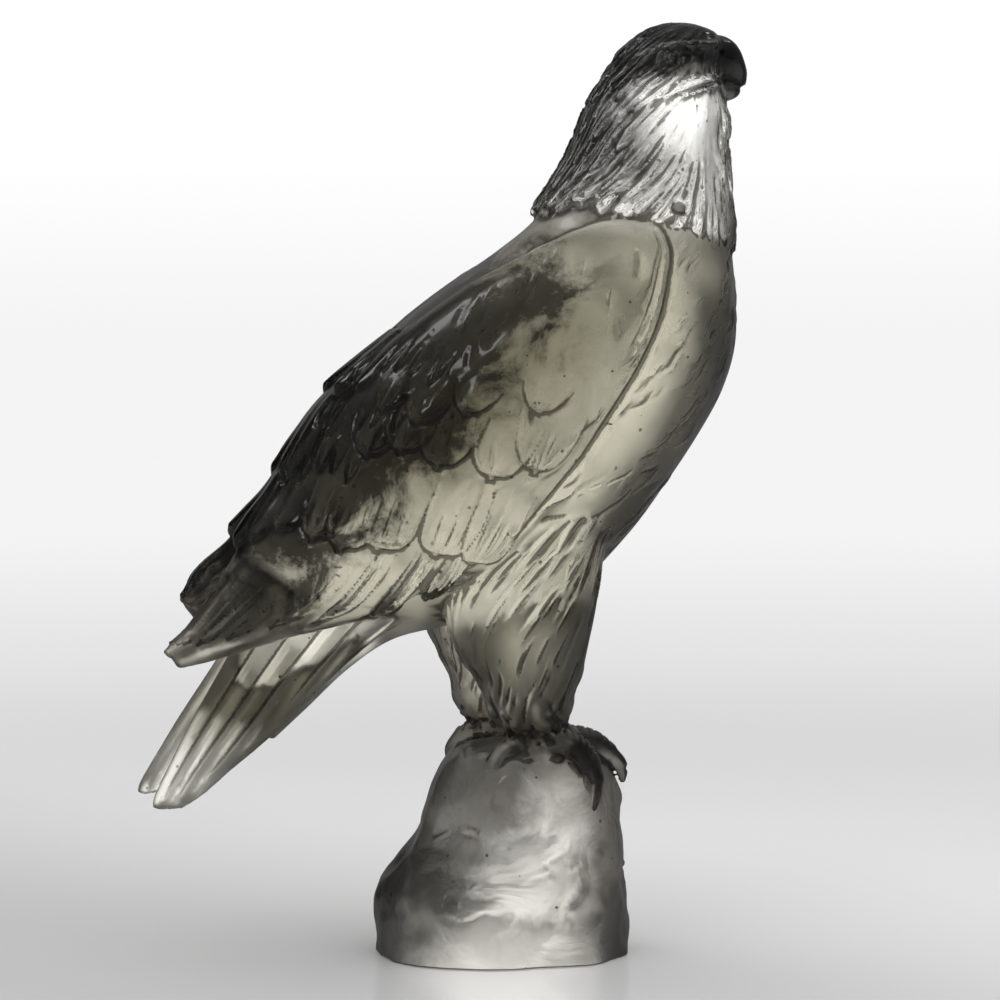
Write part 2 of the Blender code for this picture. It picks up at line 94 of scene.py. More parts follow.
def curve_through(rows: Points | np.ndarray, place: Number) -> np.ndarray:
    """Reads rows of numbers as one smooth curve.

    Args:
        rows: The rows that the curve passes through.
        place: Where along the rows to read, counted from 0.

    Returns:
        The curve's numbers at each place.
    """
    rows = np.asarray(rows, float)
    last = len(rows) - 1
    place = np.clip(np.asarray(place, float), 0, last)
    first = np.minimum(place.astype(int), last - 1)
    t = (place - first)[..., None]
    before, after = rows[np.maximum(first - 1, 0)], rows[np.minimum(first + 2, last)]
    start, end = rows[first], rows[first + 1]
    return 0.5 * (
        2 * start
        + (end - before) * t
        + (2 * before - 5 * start + 4 * end - after) * t**2
        + (3 * start - before - 3 * end + after) * t**3
    )


def ease(value: Number, start: float, end: float) -> Number:
    """Rises smoothly from 0 at start to 1 at end."""
    t = np.clip((value - start) / (end - start), 0, 1)
    return t * t * (3 - 2 * t)


def read_vectors(items: bpy.types.bpy_prop_collection, name: str) -> np.ndarray:
    """Reads three numbers of each item, such as where a mesh's points are.

    Args:
        items: What is read, such as a mesh's points.
        name: Which of its values.

    Returns:
        The values, with x, y and z last.
    """
    values = np.empty(len(items) * 3)
    items.foreach_get(name, values)
    return values.reshape(-1, 3)


def placed(name: str, data: bpy.types.ID) -> bpy.types.Object:
    """Puts an object in the scene, at the origin.

    Args:
        name: The object's name.
        data: Its mesh or camera.

    Returns:
        The object.
    """
    made = bpy.data.objects.new(name, data)
    bpy.context.scene.collection.objects.link(made)
    return made


def as_mesh(holder: bpy.types.Object) -> bpy.types.Mesh:
    """Gives an object's mesh as its modifiers make it, and removes the object.

    Args:
        holder: The object.

    Returns:
        The mesh.
    """
    graph = bpy.context.evaluated_depsgraph_get()
    mesh = bpy.data.meshes.new_from_object(holder.evaluated_get(graph))
    bpy.data.objects.remove(holder)
    return mesh


@dataclass(frozen=True)
class Form:
    """A lofted form, read by a place along its rows and a turn round it, 0 at the back.

    Each row is back x, back z, front x, front z, half width, and the widest place from the back.
    """

    rows: Rows

    def at(self, place: Number, turn: Number) -> np.ndarray:
        """Finds points of the skin.

        Args:
            place: Where along the rows.
            turn: Radians round the form, positive to the left.

        Returns:
            The points, with x, y and z last.
        """
        place, turn = np.broadcast_arrays(np.asarray(place, float), np.asarray(turn, float))
        row = curve_through(self.rows, place)
        share = 0.5 - 0.5 * np.cos(turn)
        share = share + 4 * (row[..., 5] - 0.5) * share * (1 - share)
        middle = row[..., 0:2] + (row[..., 2:4] - row[..., 0:2]) * share[..., None]
        return np.stack([middle[..., 0], row[..., 4] * np.sin(turn), middle[..., 1]], axis=-1)

    def outward(self, place: Number, turn: Number) -> np.ndarray:
        """Finds the skin's unit normals, pointing away from the form.

        Args:
            place: Where along the rows.
            turn: Radians round the form, positive to the left.

        Returns:
            The normals, with x, y and z last.
        """
        step = 0.02
        along = self.at(np.add(place, step), turn) - self.at(np.subtract(place, step), turn)
        around = self.at(place, np.add(turn, step)) - self.at(place, np.subtract(turn, step))
        normal = np.cross(around, along)
        row = curve_through(self.rows, place)
        centre = (row[..., 0:2] + row[..., 2:4]) / 2
        flat = np.stack([centre[..., 0], np.zeros_like(centre[..., 0]), centre[..., 1]], axis=-1)
        normal *= np.sign(np.sum(normal * (self.at(place, turn) - flat), axis=-1, keepdims=True))
        return normal / np.linalg.norm(normal, axis=-1, keepdims=True)

    def off(self, place: Number, turn: Number, height: Number) -> np.ndarray:
        """Finds points a given height off the skin."""
        return self.at(place, turn) + self.outward(place, turn) * np.asarray(height)[..., None]

    def rings(self, start: float, end: float, steps: int, sides: int = 56) -> np.ndarray:
        """Finds closed rings of the skin between two places along it."""
        turn = np.linspace(0, math.tau, sides, endpoint=False)[None, :]
        return self.at(np.linspace(start, end, steps)[:, None], turn)

    def girth(self, place: Number, turn: Number) -> np.ndarray:
        """Measures how far the skin runs for each radian of turn.

        Args:
            place: Where along the rows.
            turn: Radians round the form, positive to the left.

        Returns:
            The lengths.
        """
        gap = 0.05
        across = self.at(place, np.add(turn, gap)) - self.at(place, np.subtract(turn, gap))
        return np.linalg.norm(across, axis=-1) / (2 * gap)


class Clay:
    """Closed forms gathered into one mesh."""

    # A limb is upright where its level part is under this share of its length.
    upright: float = 0.2

    def __init__(self) -> None:
        """Starts with no clay."""
        self.points: list[np.ndarray] = []
        self.faces: list[tuple[int, ...]] = []
        self.count = 0

    def loft(self, rings: np.ndarray | list) -> None:
        """Adds the closed form through a run of rings.

        Args:
            rings: Rings with the same number of points each.
        """
        rings = np.asarray(rings, float)
        rows, around = rings.shape[:2]
        self.points += [rings.reshape(-1, 3), rings[[0, -1]].mean(axis=1)]
        grid = self.count + np.arange(rows * around).reshape(rows, around)
        turned = np.roll(grid, -1, axis=1)
        quads = np.stack([grid[:-1], turned[:-1], turned[1:], grid[1:]], axis=-1).reshape(-1, 4)
        self.faces += [tuple(quad) for quad in quads.tolist()]
        first, last = self.count + rows * around, self.count + rows * around + 1
        self.faces += [(b, a, first) for a, b in zip(grid[0].tolist(), turned[0].tolist())]
        self.faces += [(a, b, last) for a, b in zip(grid[-1].tolist(), turned[-1].tolist())]
        self.count += rows * around + 2

    def tube(
        self, path: Points, radii: Sequence[float], flat: float = 1.0, steps: int = 18, around: int = 14
    ) -> None:
        """Adds a round limb along a smooth path.

        Args:
            path: The points that the limb passes through.
            radii: Its radius at points spread evenly along it.
            flat: How far it is squeezed from above, 1 for not at all.
            steps: How many rings it has.
            around: How many points each ring has.
        """
        line = curve_through(path, np.linspace(0, len(path) - 1, steps))
        radius = curve_through(np.asarray(radii, float)[:, None], np.linspace(0, len(radii) - 1, steps))
        forward = np.gradient(line, axis=0)
        forward /= np.linalg.norm(forward, axis=1, keepdims=True)
        side = np.cross(forward, (0.0, 0.0, 1.0))
        side[np.linalg.norm(side, axis=1) < self.upright] = (0.0, 1.0, 0.0)
        side /= np.linalg.norm(side, axis=1, keepdims=True)
        up = np.cross(side, forward)
        angle = np.linspace(0, math.tau, around, endpoint=False)[None, :, None]
        across = side[:, None] * np.cos(angle) + up[:, None] * np.sin(angle) * flat
        self.loft(line[:, None] + across * radius[:, None])

    def mesh(self, name: str, unit: float, soles: float) -> bpy.types.Mesh:
        """Makes a mesh of the clay.

        Args:
            name: The mesh's name.
            unit: Metres in one hundredth of the bird's height.
            soles: The height of the bird's soles.

        Returns:
            The mesh, in metres, with its faces pointing out.
        """
        points = np.concatenate(self.points) * unit
        points[:, 2] += soles
        mesh = bpy.data.meshes.new(name)
        mesh.from_pydata(points.tolist(), [], self.faces)
        work = bmesh.new()
        work.from_mesh(mesh)
        bmesh.ops.recalc_face_normals(work, faces=work.faces)
        work.to_mesh(mesh)
        work.free()
        return mesh


class Graver:
    """Strokes that raise or cut the skin, each a line with a reach and a height."""

    # How far apart a stroke's points are, as a share of its reach.
    gap: float = 0.45
    # The part of a half wave that it swells and fades by.
    swell_over: tuple[float, float] = (0.03, 0.97)
    # How much of its reach a full taper takes off its ends.
    narrowing: float = 0.7

    def __init__(self, draw: np.random.Generator) -> None:
        """Starts with no strokes.

        Args:
            draw: The source of their scatter.
        """
        self.draw = draw
        self.points: list[np.ndarray] = []
        self.reaches: list[np.ndarray] = []
        self.heights: list[np.ndarray] = []

    def stroke(self, path: Points | np.ndarray, reach: float, height: float, taper: float = 1.0) -> None:
        """Adds a stroke that fades out at its two ends.

        Args:
            path: The points that the stroke passes through.
            reach: Half its width.
            height: How far it raises the skin; a cut has a negative height.
            taper: How much of its width it loses at its ends, from 0 to 1.
        """
        path = np.asarray(path, float)
        length = np.linalg.norm(np.diff(path, axis=0), axis=1).sum()
        t = np.linspace(0, 1, max(4, int(length / (self.gap * reach))))
        swell = np.sin(math.pi * np.clip(t, *self.swell_over)) ** 0.5
        self.points.append(curve_through(path, t * (len(path) - 1)))
        self.reaches.append(reach * (1 - taper * (1 - swell) * self.narrowing))
        self.heights.append(height * swell)

    def carve(self, mesh: bpy.types.Mesh, unit: float, soles: float, lift: float) -> None:
        """Moves a mesh's points along their normals, as the strokes say.

        Args:
            mesh: The mesh, in metres.
            unit: Metres in one hundredth of the bird's height.
            soles: The height of the bird's soles.
            lift: How far off the skin a stroke may lie and still mark it.
        """
        place = read_vectors(mesh.vertices, "co")
        normal = read_vectors(mesh.vertex_normals, "vector")
        tree = kdtree.KDTree(len(place))
        for number, point in enumerate(place.tolist()):
            tree.insert(point, number)
        tree.balance()
        strokes = np.concatenate(self.points) * unit + (0, 0, soles)
        reaches = np.concatenate(self.reaches) * unit
        heights = np.concatenate(self.heights) * unit
        found, owner = [], []
        for number, (point, reach) in enumerate(zip(strokes.tolist(), reaches.tolist())):
            near = [hit[1] for hit in tree.find_range(point, math.hypot(reach, lift))]
            found += near
            owner += [number] * len(near)
        found, owner = np.array(found, int), np.array(owner, int)
        apart = place[found] - strokes[owner]
        rise = np.sum(apart * normal[found], axis=1)
        across = np.sum(apart**2, axis=1) - rise**2
        moved = heights[owner] * np.clip(1 - across / reaches[owner] ** 2, 0, 1) ** 2
        raised, cut = np.zeros(len(place)), np.zeros(len(place))
        np.maximum.at(raised, found, moved)
        np.minimum.at(cut, found, moved)
        place += normal * (raised + cut)[:, None]
        mesh.vertices.foreach_set("co", place.ravel())
        mesh.update()


@dataclass(frozen=True)
class Scatter:
    """Loose strokes of one kind.

    Attributes:
        count: How many there are.
        places: Where they start along their form, from and to.
        turns: Where they start round it, from and to.
        lengths: How far they run, from and to, or nothing where they all run the same way.
        reaches: Half their width, from and to.
        heights: The heights that each takes one of.
    """

    count: int
    places: tuple[float, float]
    turns: tuple[float, float]
    lengths: tuple[float, ...]
    reaches: tuple[float, float]
    heights: tuple[float, ...]

    def engrave(
        self, graver: Graver, path: Callable[[float, float, float], Points], taper: float = 1.0
    ) -> None:
        """Engraves the strokes.

        Args:
            graver: What takes them.
            path: Gives the points of a stroke from its place, turn and length.
            taper: How much of its width each loses at its ends.
        """
        draw = graver.draw
        for _ in range(self.count):
            place, turn = draw.uniform(*self.places), draw.uniform(*self.turns)
            line = path(place, turn, draw.uniform(*self.lengths) if self.lengths else 0.0)
            graver.stroke(line, draw.uniform(*self.reaches), draw.choice(self.heights), taper)


class Skin:
    """A closed skin of small even faces, and how each point lies among its neighbours."""

    # Up to what share of its reach a join is smoothed in full.
    full_within: float = 0.45
    # How far each pass moves a point towards the middle of its neighbours.
    pass_share: float = 0.9

    def __init__(self, mesh: bpy.types.Mesh) -> None:
        """Reads the skin's edges.

        Args:
            mesh: The skin.
        """
        self.mesh = mesh
        self.count = len(mesh.vertices)
        edges = np.empty(len(mesh.edges) * 2, np.int32)
        mesh.edges.foreach_get("vertices", edges)
        self.ends = edges.reshape(-1, 2).T
        self.neighbours = np.bincount(edges, minlength=self.count)[:, None]

    def places(self) -> np.ndarray:
        """Reads where the points are."""
        return read_vectors(self.mesh.vertices, "co")

    def relaxed(self, place: np.ndarray) -> np.ndarray:
        """Moves each point to the middle of its neighbours.

        Args:
            place: Where the points are.

        Returns:
            Where they come to lie.
        """
        first, second = self.ends
        total = np.empty_like(place)
        for axis in range(3):
            total[:, axis] = np.bincount(first, place[second, axis], self.count)
            total[:, axis] += np.bincount(second, place[first, axis], self.count)
        return total / self.neighbours

    def blend(self, joins: Sequence[tuple[np.ndarray, float, float]], passes: int) -> None:
        """Smooths the skin round some places.

        Args:
            joins: The places, in metres, each with how far from it the smoothing fades out, and
                its strength from 0 to 1.
            passes: How many times the points are relaxed.
        """
        place = self.places()
        share = np.zeros(self.count)
        for centre, reach, strength in joins:
            away = np.linalg.norm(place - centre, axis=1)
            share = np.maximum(share, strength * (1 - ease(away, self.full_within * reach, reach)))
        for _ in range(passes):
            place += (self.relaxed(place) - place) * (self.pass_share * share)[:, None]
        self.mesh.vertices.foreach_set("co", place.ravel())
        self.mesh.update()

    def write_relief(self, name: str, passes: int, depth: float) -> None:
        """Writes how far each point stands above the skin around it.

        Args:
            name: The attribute that it is written to.
            passes: How many times the points are relaxed to find that skin.
            depth: The height that is written as 1.
        """
        place = self.places()
        around = place
        for _ in range(passes):
            around = self.relaxed(around)
        height = np.sum((place - around) * read_vectors(self.mesh.vertex_normals, "vector"), axis=1)
        written = self.mesh.attributes.new(name, "FLOAT", "POINT")
        written.data.foreach_set("value", np.clip(height / depth, -1, 1).astype(np.float32))


@dataclass(frozen=True)
class Feather:
    """One feather laid on a form.

    Attributes:
        form: The form that it lies on.
        side: The side of the bird.
        root: A place along the form and a turn round it in degrees, where the feather starts.
        tip: The same for its tip.
        half_width: Half its width at its broadest.
        lift: How far its tip stands off the form.
        tilt: How far its lower edge is raised over its upper one.
        sink: How deep its body reaches under the form's skin.
        point: The share of its length that rounds off to the tip.
        tip_power: How blunt the tip is, as the power of its curve.
        root_width: Its width at the root, as a share of its broadest.
        line_reach: Half the width of the lines engraved on it.
        lip_reach: Half the width of its lip.
        split_depths: How deep the splits in its vane are, in turn.
    """

    form: Form
    side: Side
    root: tuple[float, float]
    tip: tuple[float, float]
    half_width: float
    lift: float
    tilt: float = 0.0
    sink: float = 1.2
    point: float = 0.35
    tip_power: float = 2.2
    root_width: float = 0.62
    line_reach: float = 0.42
    lip_reach: float = 0.40
    split_depths: tuple[float, float] = (0.16, 0.24)

    def surface(self, t: np.ndarray, v: np.ndarray) -> tuple[np.ndarray, np.ndarray, np.ndarray]:
        """Finds where the feather's upper face lies.

        Args:
            t: Shares of its length from the root.
            v: Shares of its half width, from -1 to 1.

        Returns:
            Places along the form, turns round it, and heights off it.
        """
        place = self.root[0] + (self.tip[0] - self.root[0]) * t
        middle = np.radians(self.root[1] + (self.tip[1] - self.root[1]) * t)
        near_tip = np.clip((t - (1 - self.point)) / self.point, 0, 1)
        widening = self.root_width + (1 - self.root_width) * np.clip(t / 0.5, 0, 1)
        outline = widening * np.sqrt(np.clip(1 - near_tip**self.tip_power, 0.01, 1))
        turn = self.side.value * (middle + v * self.half_width * outline / self.form.girth(place, middle))
        rise = self.lift * (0.25 + 0.75 * t) * (1 - 0.35 * v**2) + self.tilt * v * (0.3 + 0.7 * t)
        rise = np.where(t >= 1, rise * 0.6, rise)
        place, turn, rise = np.broadcast_arrays(place, turn, rise)
        return place, turn, rise

    def lay(self, clay: Clay) -> None:
        """Adds the feather's closed body to the clay.

        Args:
            clay: What the forms are added to.
        """
        t, v = np.linspace(0, 1, 14)[:, None], np.linspace(-1, 1, 9)[None, :]
        place, turn, rise = self.surface(t, v)
        top = self.form.off(place, turn, rise)
        bottom = self.form.off(place, turn, np.full_like(rise, -self.sink))
        clay.loft(np.concatenate([top, bottom[:, ::-1]], axis=1))

    def line(self, start: float, end: float, v: Number, wave: float = 0.0) -> np.ndarray:
        """Finds a line along the feather's upper face.

        Args:
            start: Where the line starts, as a share of the length.
            end: Where it ends.
            v: Its share of the half width.
            wave: How far it wanders across, as a share of the half width.

        Returns:
            Points along the line.
        """
        t = np.linspace(start, end, 9)
        v = v + wave * np.sin(7 * t + 9 * self.tip[1])
        return self.form.off(*self.surface(t, v))

    def edge(self, grow: float) -> np.ndarray:
        """Finds a line round the outer half of the feather.

        Args:
            grow: How far outside the edge it runs, as a share of the feather's size.

        Returns:
            Points from one side, round the tip, to the other.
        """
        across = np.linspace(-1, 1, 17)
        t = 1 - self.point + self.point * np.clip(1 - across**2, 0, 1) ** (1 / self.tip_power)
        first, last = np.linspace(0.3, t[0], 5)[:-1], np.linspace(t[-1], 0.3, 5)[1:]
        t = np.concatenate([first, t, last]) * (1 + 0.4 * grow)
        v = np.concatenate([np.full(4, -1.0), np.sign(across), np.full(4, 1.0)]) * (1 + grow)
        free = t > 0.5
        return self.form.off(*self.surface(t[free], v[free]))

    def engrave(
        self, graver: Graver, groove: float, lip: float = 0.0, quill: float = 0.0, splits: int = 0
    ) -> None:
        """Engraves a groove round the feather's outer half, with what runs along its vane.

        Args:
            graver: What takes the strokes.
            groove: The groove's depth.
            lip: The height of the thin lip inside the groove.
            quill: The quill's height.
            splits: How many lines the vane is split by.
        """
        graver.stroke(self.edge(0.07), self.line_reach, -groove, taper=0.4)
        if lip:
            graver.stroke(self.edge(-0.10), self.lip_reach, lip, taper=0.4)
        if quill:
            graver.stroke(self.line(0.5, 0.95, 0.0), self.line_reach, quill)
        for number in range(splits):
            v = -0.8 + 1.6 * (number + 0.5 + 0.25 * math.sin(7 * number + self.tip[1])) / splits
            start = 0.5 + 0.2 * abs(math.sin(3 * number + self.tip[1]))
            depth = self.split_depths[number % 2]
            graver.stroke(self.line(start, 0.97, v, 0.05), self.line_reach, -depth)


@dataclass
class Trunk:
    """Chest, back and belly, closing under the tail."""

    # The upper body, which the wings are folded along, and the end under the tail.
    body: Rows = (
        (7.0, 78.0, 31.5, 75.5, 10.5, 0.50),
        (5.2, 73.2, 32.2, 69.2, 13.6, 0.50),
        (-0.2, 68.6, 32.8, 61.5, 17.2, 0.48),
        (-6.6, 64.2, 32.7, 55.2, 19.0, 0.46),
        (-13.0, 59.2, 31.0, 49.2, 19.4, 0.45),
        (-19.1, 53.6, 27.8, 43.3, 19.0, 0.45),
        (-24.6, 48.0, 23.3, 36.6, 18.2, 0.45),
        (-28.5, 42.2, 17.6, 29.1, 16.9, 0.45),
        (-32.0, 36.0, 10.0, 21.8, 15.2, 0.45),
    )
    end: Rows = (
        (-33.2, 31.5, 1.7, 18.6, 12.6, 0.45),
        (-33.9, 27.0, -8.0, 16.8, 9.8, 0.45),
        (-34.4, 21.5, -15.6, 15.0, 7.6, 0.45),
        (-35.6, 16.0, -21.8, 11.0, 6.2, 0.45),
        (-37.5, 10.5, -27.0, 6.2, 4.8, 0.45),
        (-40.2, 4.5, -32.0, 1.6, 3.0, 0.45),
    )
    streaks: Scatter = Scatter(230, (1.0, 9.4), (106, 176), (0.25, 0.8), (0.4, 0.8), (-0.20, -0.12, 0.18))

    @property
    def form(self) -> Form:
        """The trunk as one form."""
        return Form(self.body + self.end)

    def lay(self, clay: Clay) -> None:
        """Adds the trunk to the clay."""
        clay.loft(self.form.rings(0, len(self.form.rows) - 1, 80))

    def engrave(self, graver: Graver) -> None:
        """Scores shallow streaks down the chest and belly, between the wings.

        Args:
            graver: What takes the strokes.
        """
        form, loose, draw = self.form, self.streaks, graver.draw
        t = np.linspace(0, 1, 6)
        for _ in range(loose.count):
            side = draw.choice((1, -1))
            place, length = draw.uniform(*loose.places), draw.uniform(*loose.lengths)
            turn = np.radians(draw.uniform(*loose.turns))
            path = form.at(place + length * t, side * (turn - 0.10 * t + 0.02 * np.sin(6 * t + place)))
            graver.stroke(path, draw.uniform(*loose.reaches), draw.choice(loose.heights))


@dataclass
class Wing:
    """One folded wing: a smooth shell under rows of feathers."""

    side: Side
    trunk: Trunk
    thickness: float
    feather_lift: float
    # How the form goes on past the trunk's body to each wing's tip.
    right_tip: Rows = (
        (-35.0, 32.0, 3.0, 19.2, 14.4, 0.45),
        (-38.2, 27.2, -8.2, 14.6, 12.4, 0.45),
        (-42.0, 21.4, -24.4, 13.2, 9.6, 0.45),
        (-45.3, 16.8, -36.2, 12.2, 7.4, 0.45),
        (-48.3, 13.8, -45.6, 12.2, 5.4, 0.50),
    )
    left_tip: Rows = (
        (-34.7, 32.4, 3.0, 19.2, 14.8, 0.45),
        (-38.0, 28.6, -8.2, 15.4, 13.2, 0.45),
        (-41.8, 25.2, -24.0, 16.0, 11.4, 0.45),
        (-43.4, 22.0, -34.0, 16.8, 9.4, 0.45),
        (-43.9, 20.2, -41.0, 17.2, 7.4, 0.50),
    )
    # Upper and lower edge, in degrees round the body, at places along it.
    edges: Rows = (
        (0.90, 66.0, 88.0),
        (1.05, 54.0, 95.0),
        (1.40, 42.0, 100.0),
        (2.00, 29.0, 103.0),
        (3.00, 19.0, 108.0),
        (4.00, 14.0, 111.0),
        (6.00, 11.0, 114.0),
        (8.00, 10.0, 111.0),
        (9.00, 11.0, 110.0),
        (10.0, 14.0, 110.0),
        (11.0, 19.0, 110.0),
        (12.0, 27.0, 112.0),
        (13.0, 40.0, 120.0),
    )
    # Where the shell ends, and how deep it reaches under the body's skin at places along it.
    shell_end: float = 12.8
    depths: Rows = ((8.0, 1.8), (9.5, 4.2), (11.0, 3.0), (12.8, 0.8))
    # Rows of feathers: count, first and last turn, first, middle and last place, length,
    # sweep, share of the length that is rounded, and splits in each vane.
    flight: tuple = (9, (46, 114), (12.6, 11.5, 9.5), 3.6, 8.0, 0.30, 3)
    coverts: tuple = (
        (8, (14, 108), (9.7, 9.0, 8.3), 3.0, 6.0, 0.28, 3),
        (8, (8, 104), (7.9, 6.9, 6.5), 2.2, 6.0, 0.45, 1),
        (6, (14, 90), (5.9, 6.0, 5.5), 1.6, 6.0, 0.70, 0),
    )
    # Rows of faint plumes below the shoulder.
    plume_rows: int = 3
    # Rounded feather ends and lumps along the tip and hem: turn, first and last place, radius.
    lumps: Rows = (
        (48, 11.6, 12.6, 1.3),
        (68, 11.7, 12.7, 1.2),
        (88, 11.3, 12.3, 1.2),
        (104, 9.4, 9.9, 0.9),
        (107, 8.9, 9.3, 0.8),
    )
    # Lines beside the lower edge: how far past it in radians, half the width, the height and the
    # number of points. A deep crease, then a fine rim and groove down the shoulder.
    creases: Rows = ((0.02, 0.7, -0.55, 16), (-0.06, 0.45, 0.20, 8), (-0.12, 0.45, -0.20, 8))
    dents: Scatter = Scatter(34, (1.5, 5.2), (25, 95), (), (0.8, 1.5), (-0.16, 0.12))

    @property
    def form(self) -> Form:
        """The form that the wing is folded along."""
        return Form(self.trunk.body + (self.left_tip if self.side is Side.LEFT else self.right_tip))

    def edge_turns(self, place: np.ndarray) -> tuple[np.ndarray, np.ndarray]:
        """Finds the upper and lower edge, in radians, at places along the body.

        Args:
            place: The places.

        Returns:
            The turns of the upper edge, and of the lower one.
        """
        table = np.array(self.edges)
        upper = np.interp(place, table[:, 0], table[:, 1])
        lower = np.interp(place, table[:, 0], table[:, 2])
        return np.radians(upper), np.radians(lower)

    def lay(self, clay: Clay) -> None:
        """Adds the wing's shell and its feathers to the clay.

        Args:
            clay: What the forms are added to.
        """
        form, first = self.form, self.edges[0][0]
        place = np.linspace(first, self.shell_end, 70)[:, None]
        upper, lower = self.edge_turns(place)
        v = np.linspace(0, 1, 25)[None, :]
        turn = self.side.value * (upper + (lower - upper) * v)
        place = np.broadcast_to(place, turn.shape)
        start = np.clip((place - first) / 0.5, 0, 1)
        height = self.thickness * (1 - np.abs(2 * v - 1) ** 6) * (0.3 + 0.7 * np.sqrt(start))
        depth = np.interp(place, *zip(*self.depths))
        top, bottom = form.off(place, turn, height), form.off(place, turn, -depth)
        clay.loft(np.concatenate([top, bottom[:, ::-1]], axis=1))
        for feather, _splits in self.feathers():
            feather.lay(clay)
        for turn, start, end, radius in self.lumps:
            turns = self.side.turn(turn + np.linspace(0, 6, 4))
            path = form.off(np.linspace(start, end, 4), turns, np.full(4, 0.2))
            clay.tube(path, (0.5, 1.0 * radius, 0.9 * radius), steps=10, around=12)

    def feathers(self) -> list[tuple[Feather, int]]:
        """Lists the wing's feathers, each with the number of splits in its vane.

        Returns:
            The feathers and the numbers, row by row.
        """
        form, tilt = self.form, 0.30 * self.feather_lift
        made = []
        for row, layout in enumerate((self.flight, *self.coverts)):
            count, turns, tips, length, sweep, point, splits = layout
            lift = self.thickness + (self.feather_lift if row else 0.5)
            spacing = abs(turns[1] - turns[0]) / (count - 1)
            for number in range(count):
                t = number / (count - 1)
                turn = turns[0] + (turns[1] - turns[0]) * t
                tip = float(curve_through(np.array(tips)[:, None], t * (len(tips) - 1))[0])
                uneven = math.sin(4.7 * number + 2.1 * row)
                tip += 0.16 * uneven
                turn += 0.16 * spacing * math.sin(8.3 * number + row)
                half = 0.65 * spacing * float(form.girth(tip, math.radians(turn))) * math.pi / 180
                half *= 1 + 0.14 * math.sin(6.1 * number + 1.7 * row)
                root = (tip - length, turn - sweep * length)
                raised = lift * (1 + 0.06 * uneven)
                feather = Feather(form, self.side, root, (tip, turn), half, raised, tilt, point=point)
                made.append((feather, splits))
        return made

    def engrave(self, graver: Graver) -> None:
        """Engraves the feathers, rows of faint plumes, the lines along the lower edge and some dents.

        Args:
            graver: What takes the strokes.
        """
        form, side, draw = self.form, self.side, graver.draw
        for feather, splits in self.feathers():
            # Those near the middle of the back stay plain, for the smoke there hides fine lines.
            if feather.tip[1] > 44 or feather.tip[0] > 10.5:
                feather.engrave(graver, 0.28, 0.20, 0.10 if splits > 2 else 0.0, splits)
        for row in range(self.plume_rows):
            for turn in np.arange(12.0, 60.0, 8.0):
                tip = 5.3 + 1.15 * row + draw.uniform(-0.3, 0.3)
                turn += draw.uniform(-2.0, 2.0) + 4.0 * (row % 2)
                length = draw.uniform(1.4, 2.0)
                rise = self.thickness + 0.6 * self.feather_lift
                half = draw.uniform(0.9, 1.3)
                root = (tip - length, turn - 5 * length)
                Feather(form, side, root, (tip, turn), half, rise, point=0.95).engrave(graver, 0.30)
        along = np.linspace(1.0, 7.8, 16)
        _upper, lower = self.edge_turns(along)
        for shift, reach, height, steps in self.creases:
            crease = form.off(along, side.value * (lower + shift), np.full(16, 0.5 * self.thickness))
            graver.stroke(crease[:steps], reach, height, taper=0.6)
        t, rise = np.linspace(0, 1, 5), np.full(5, self.thickness)
        self.dents.engrave(
            graver,
            lambda place, turn, _: form.off(
                place + 0.5 * t, side.value * (math.radians(turn) + 0.10 * t), rise
            ),
        )


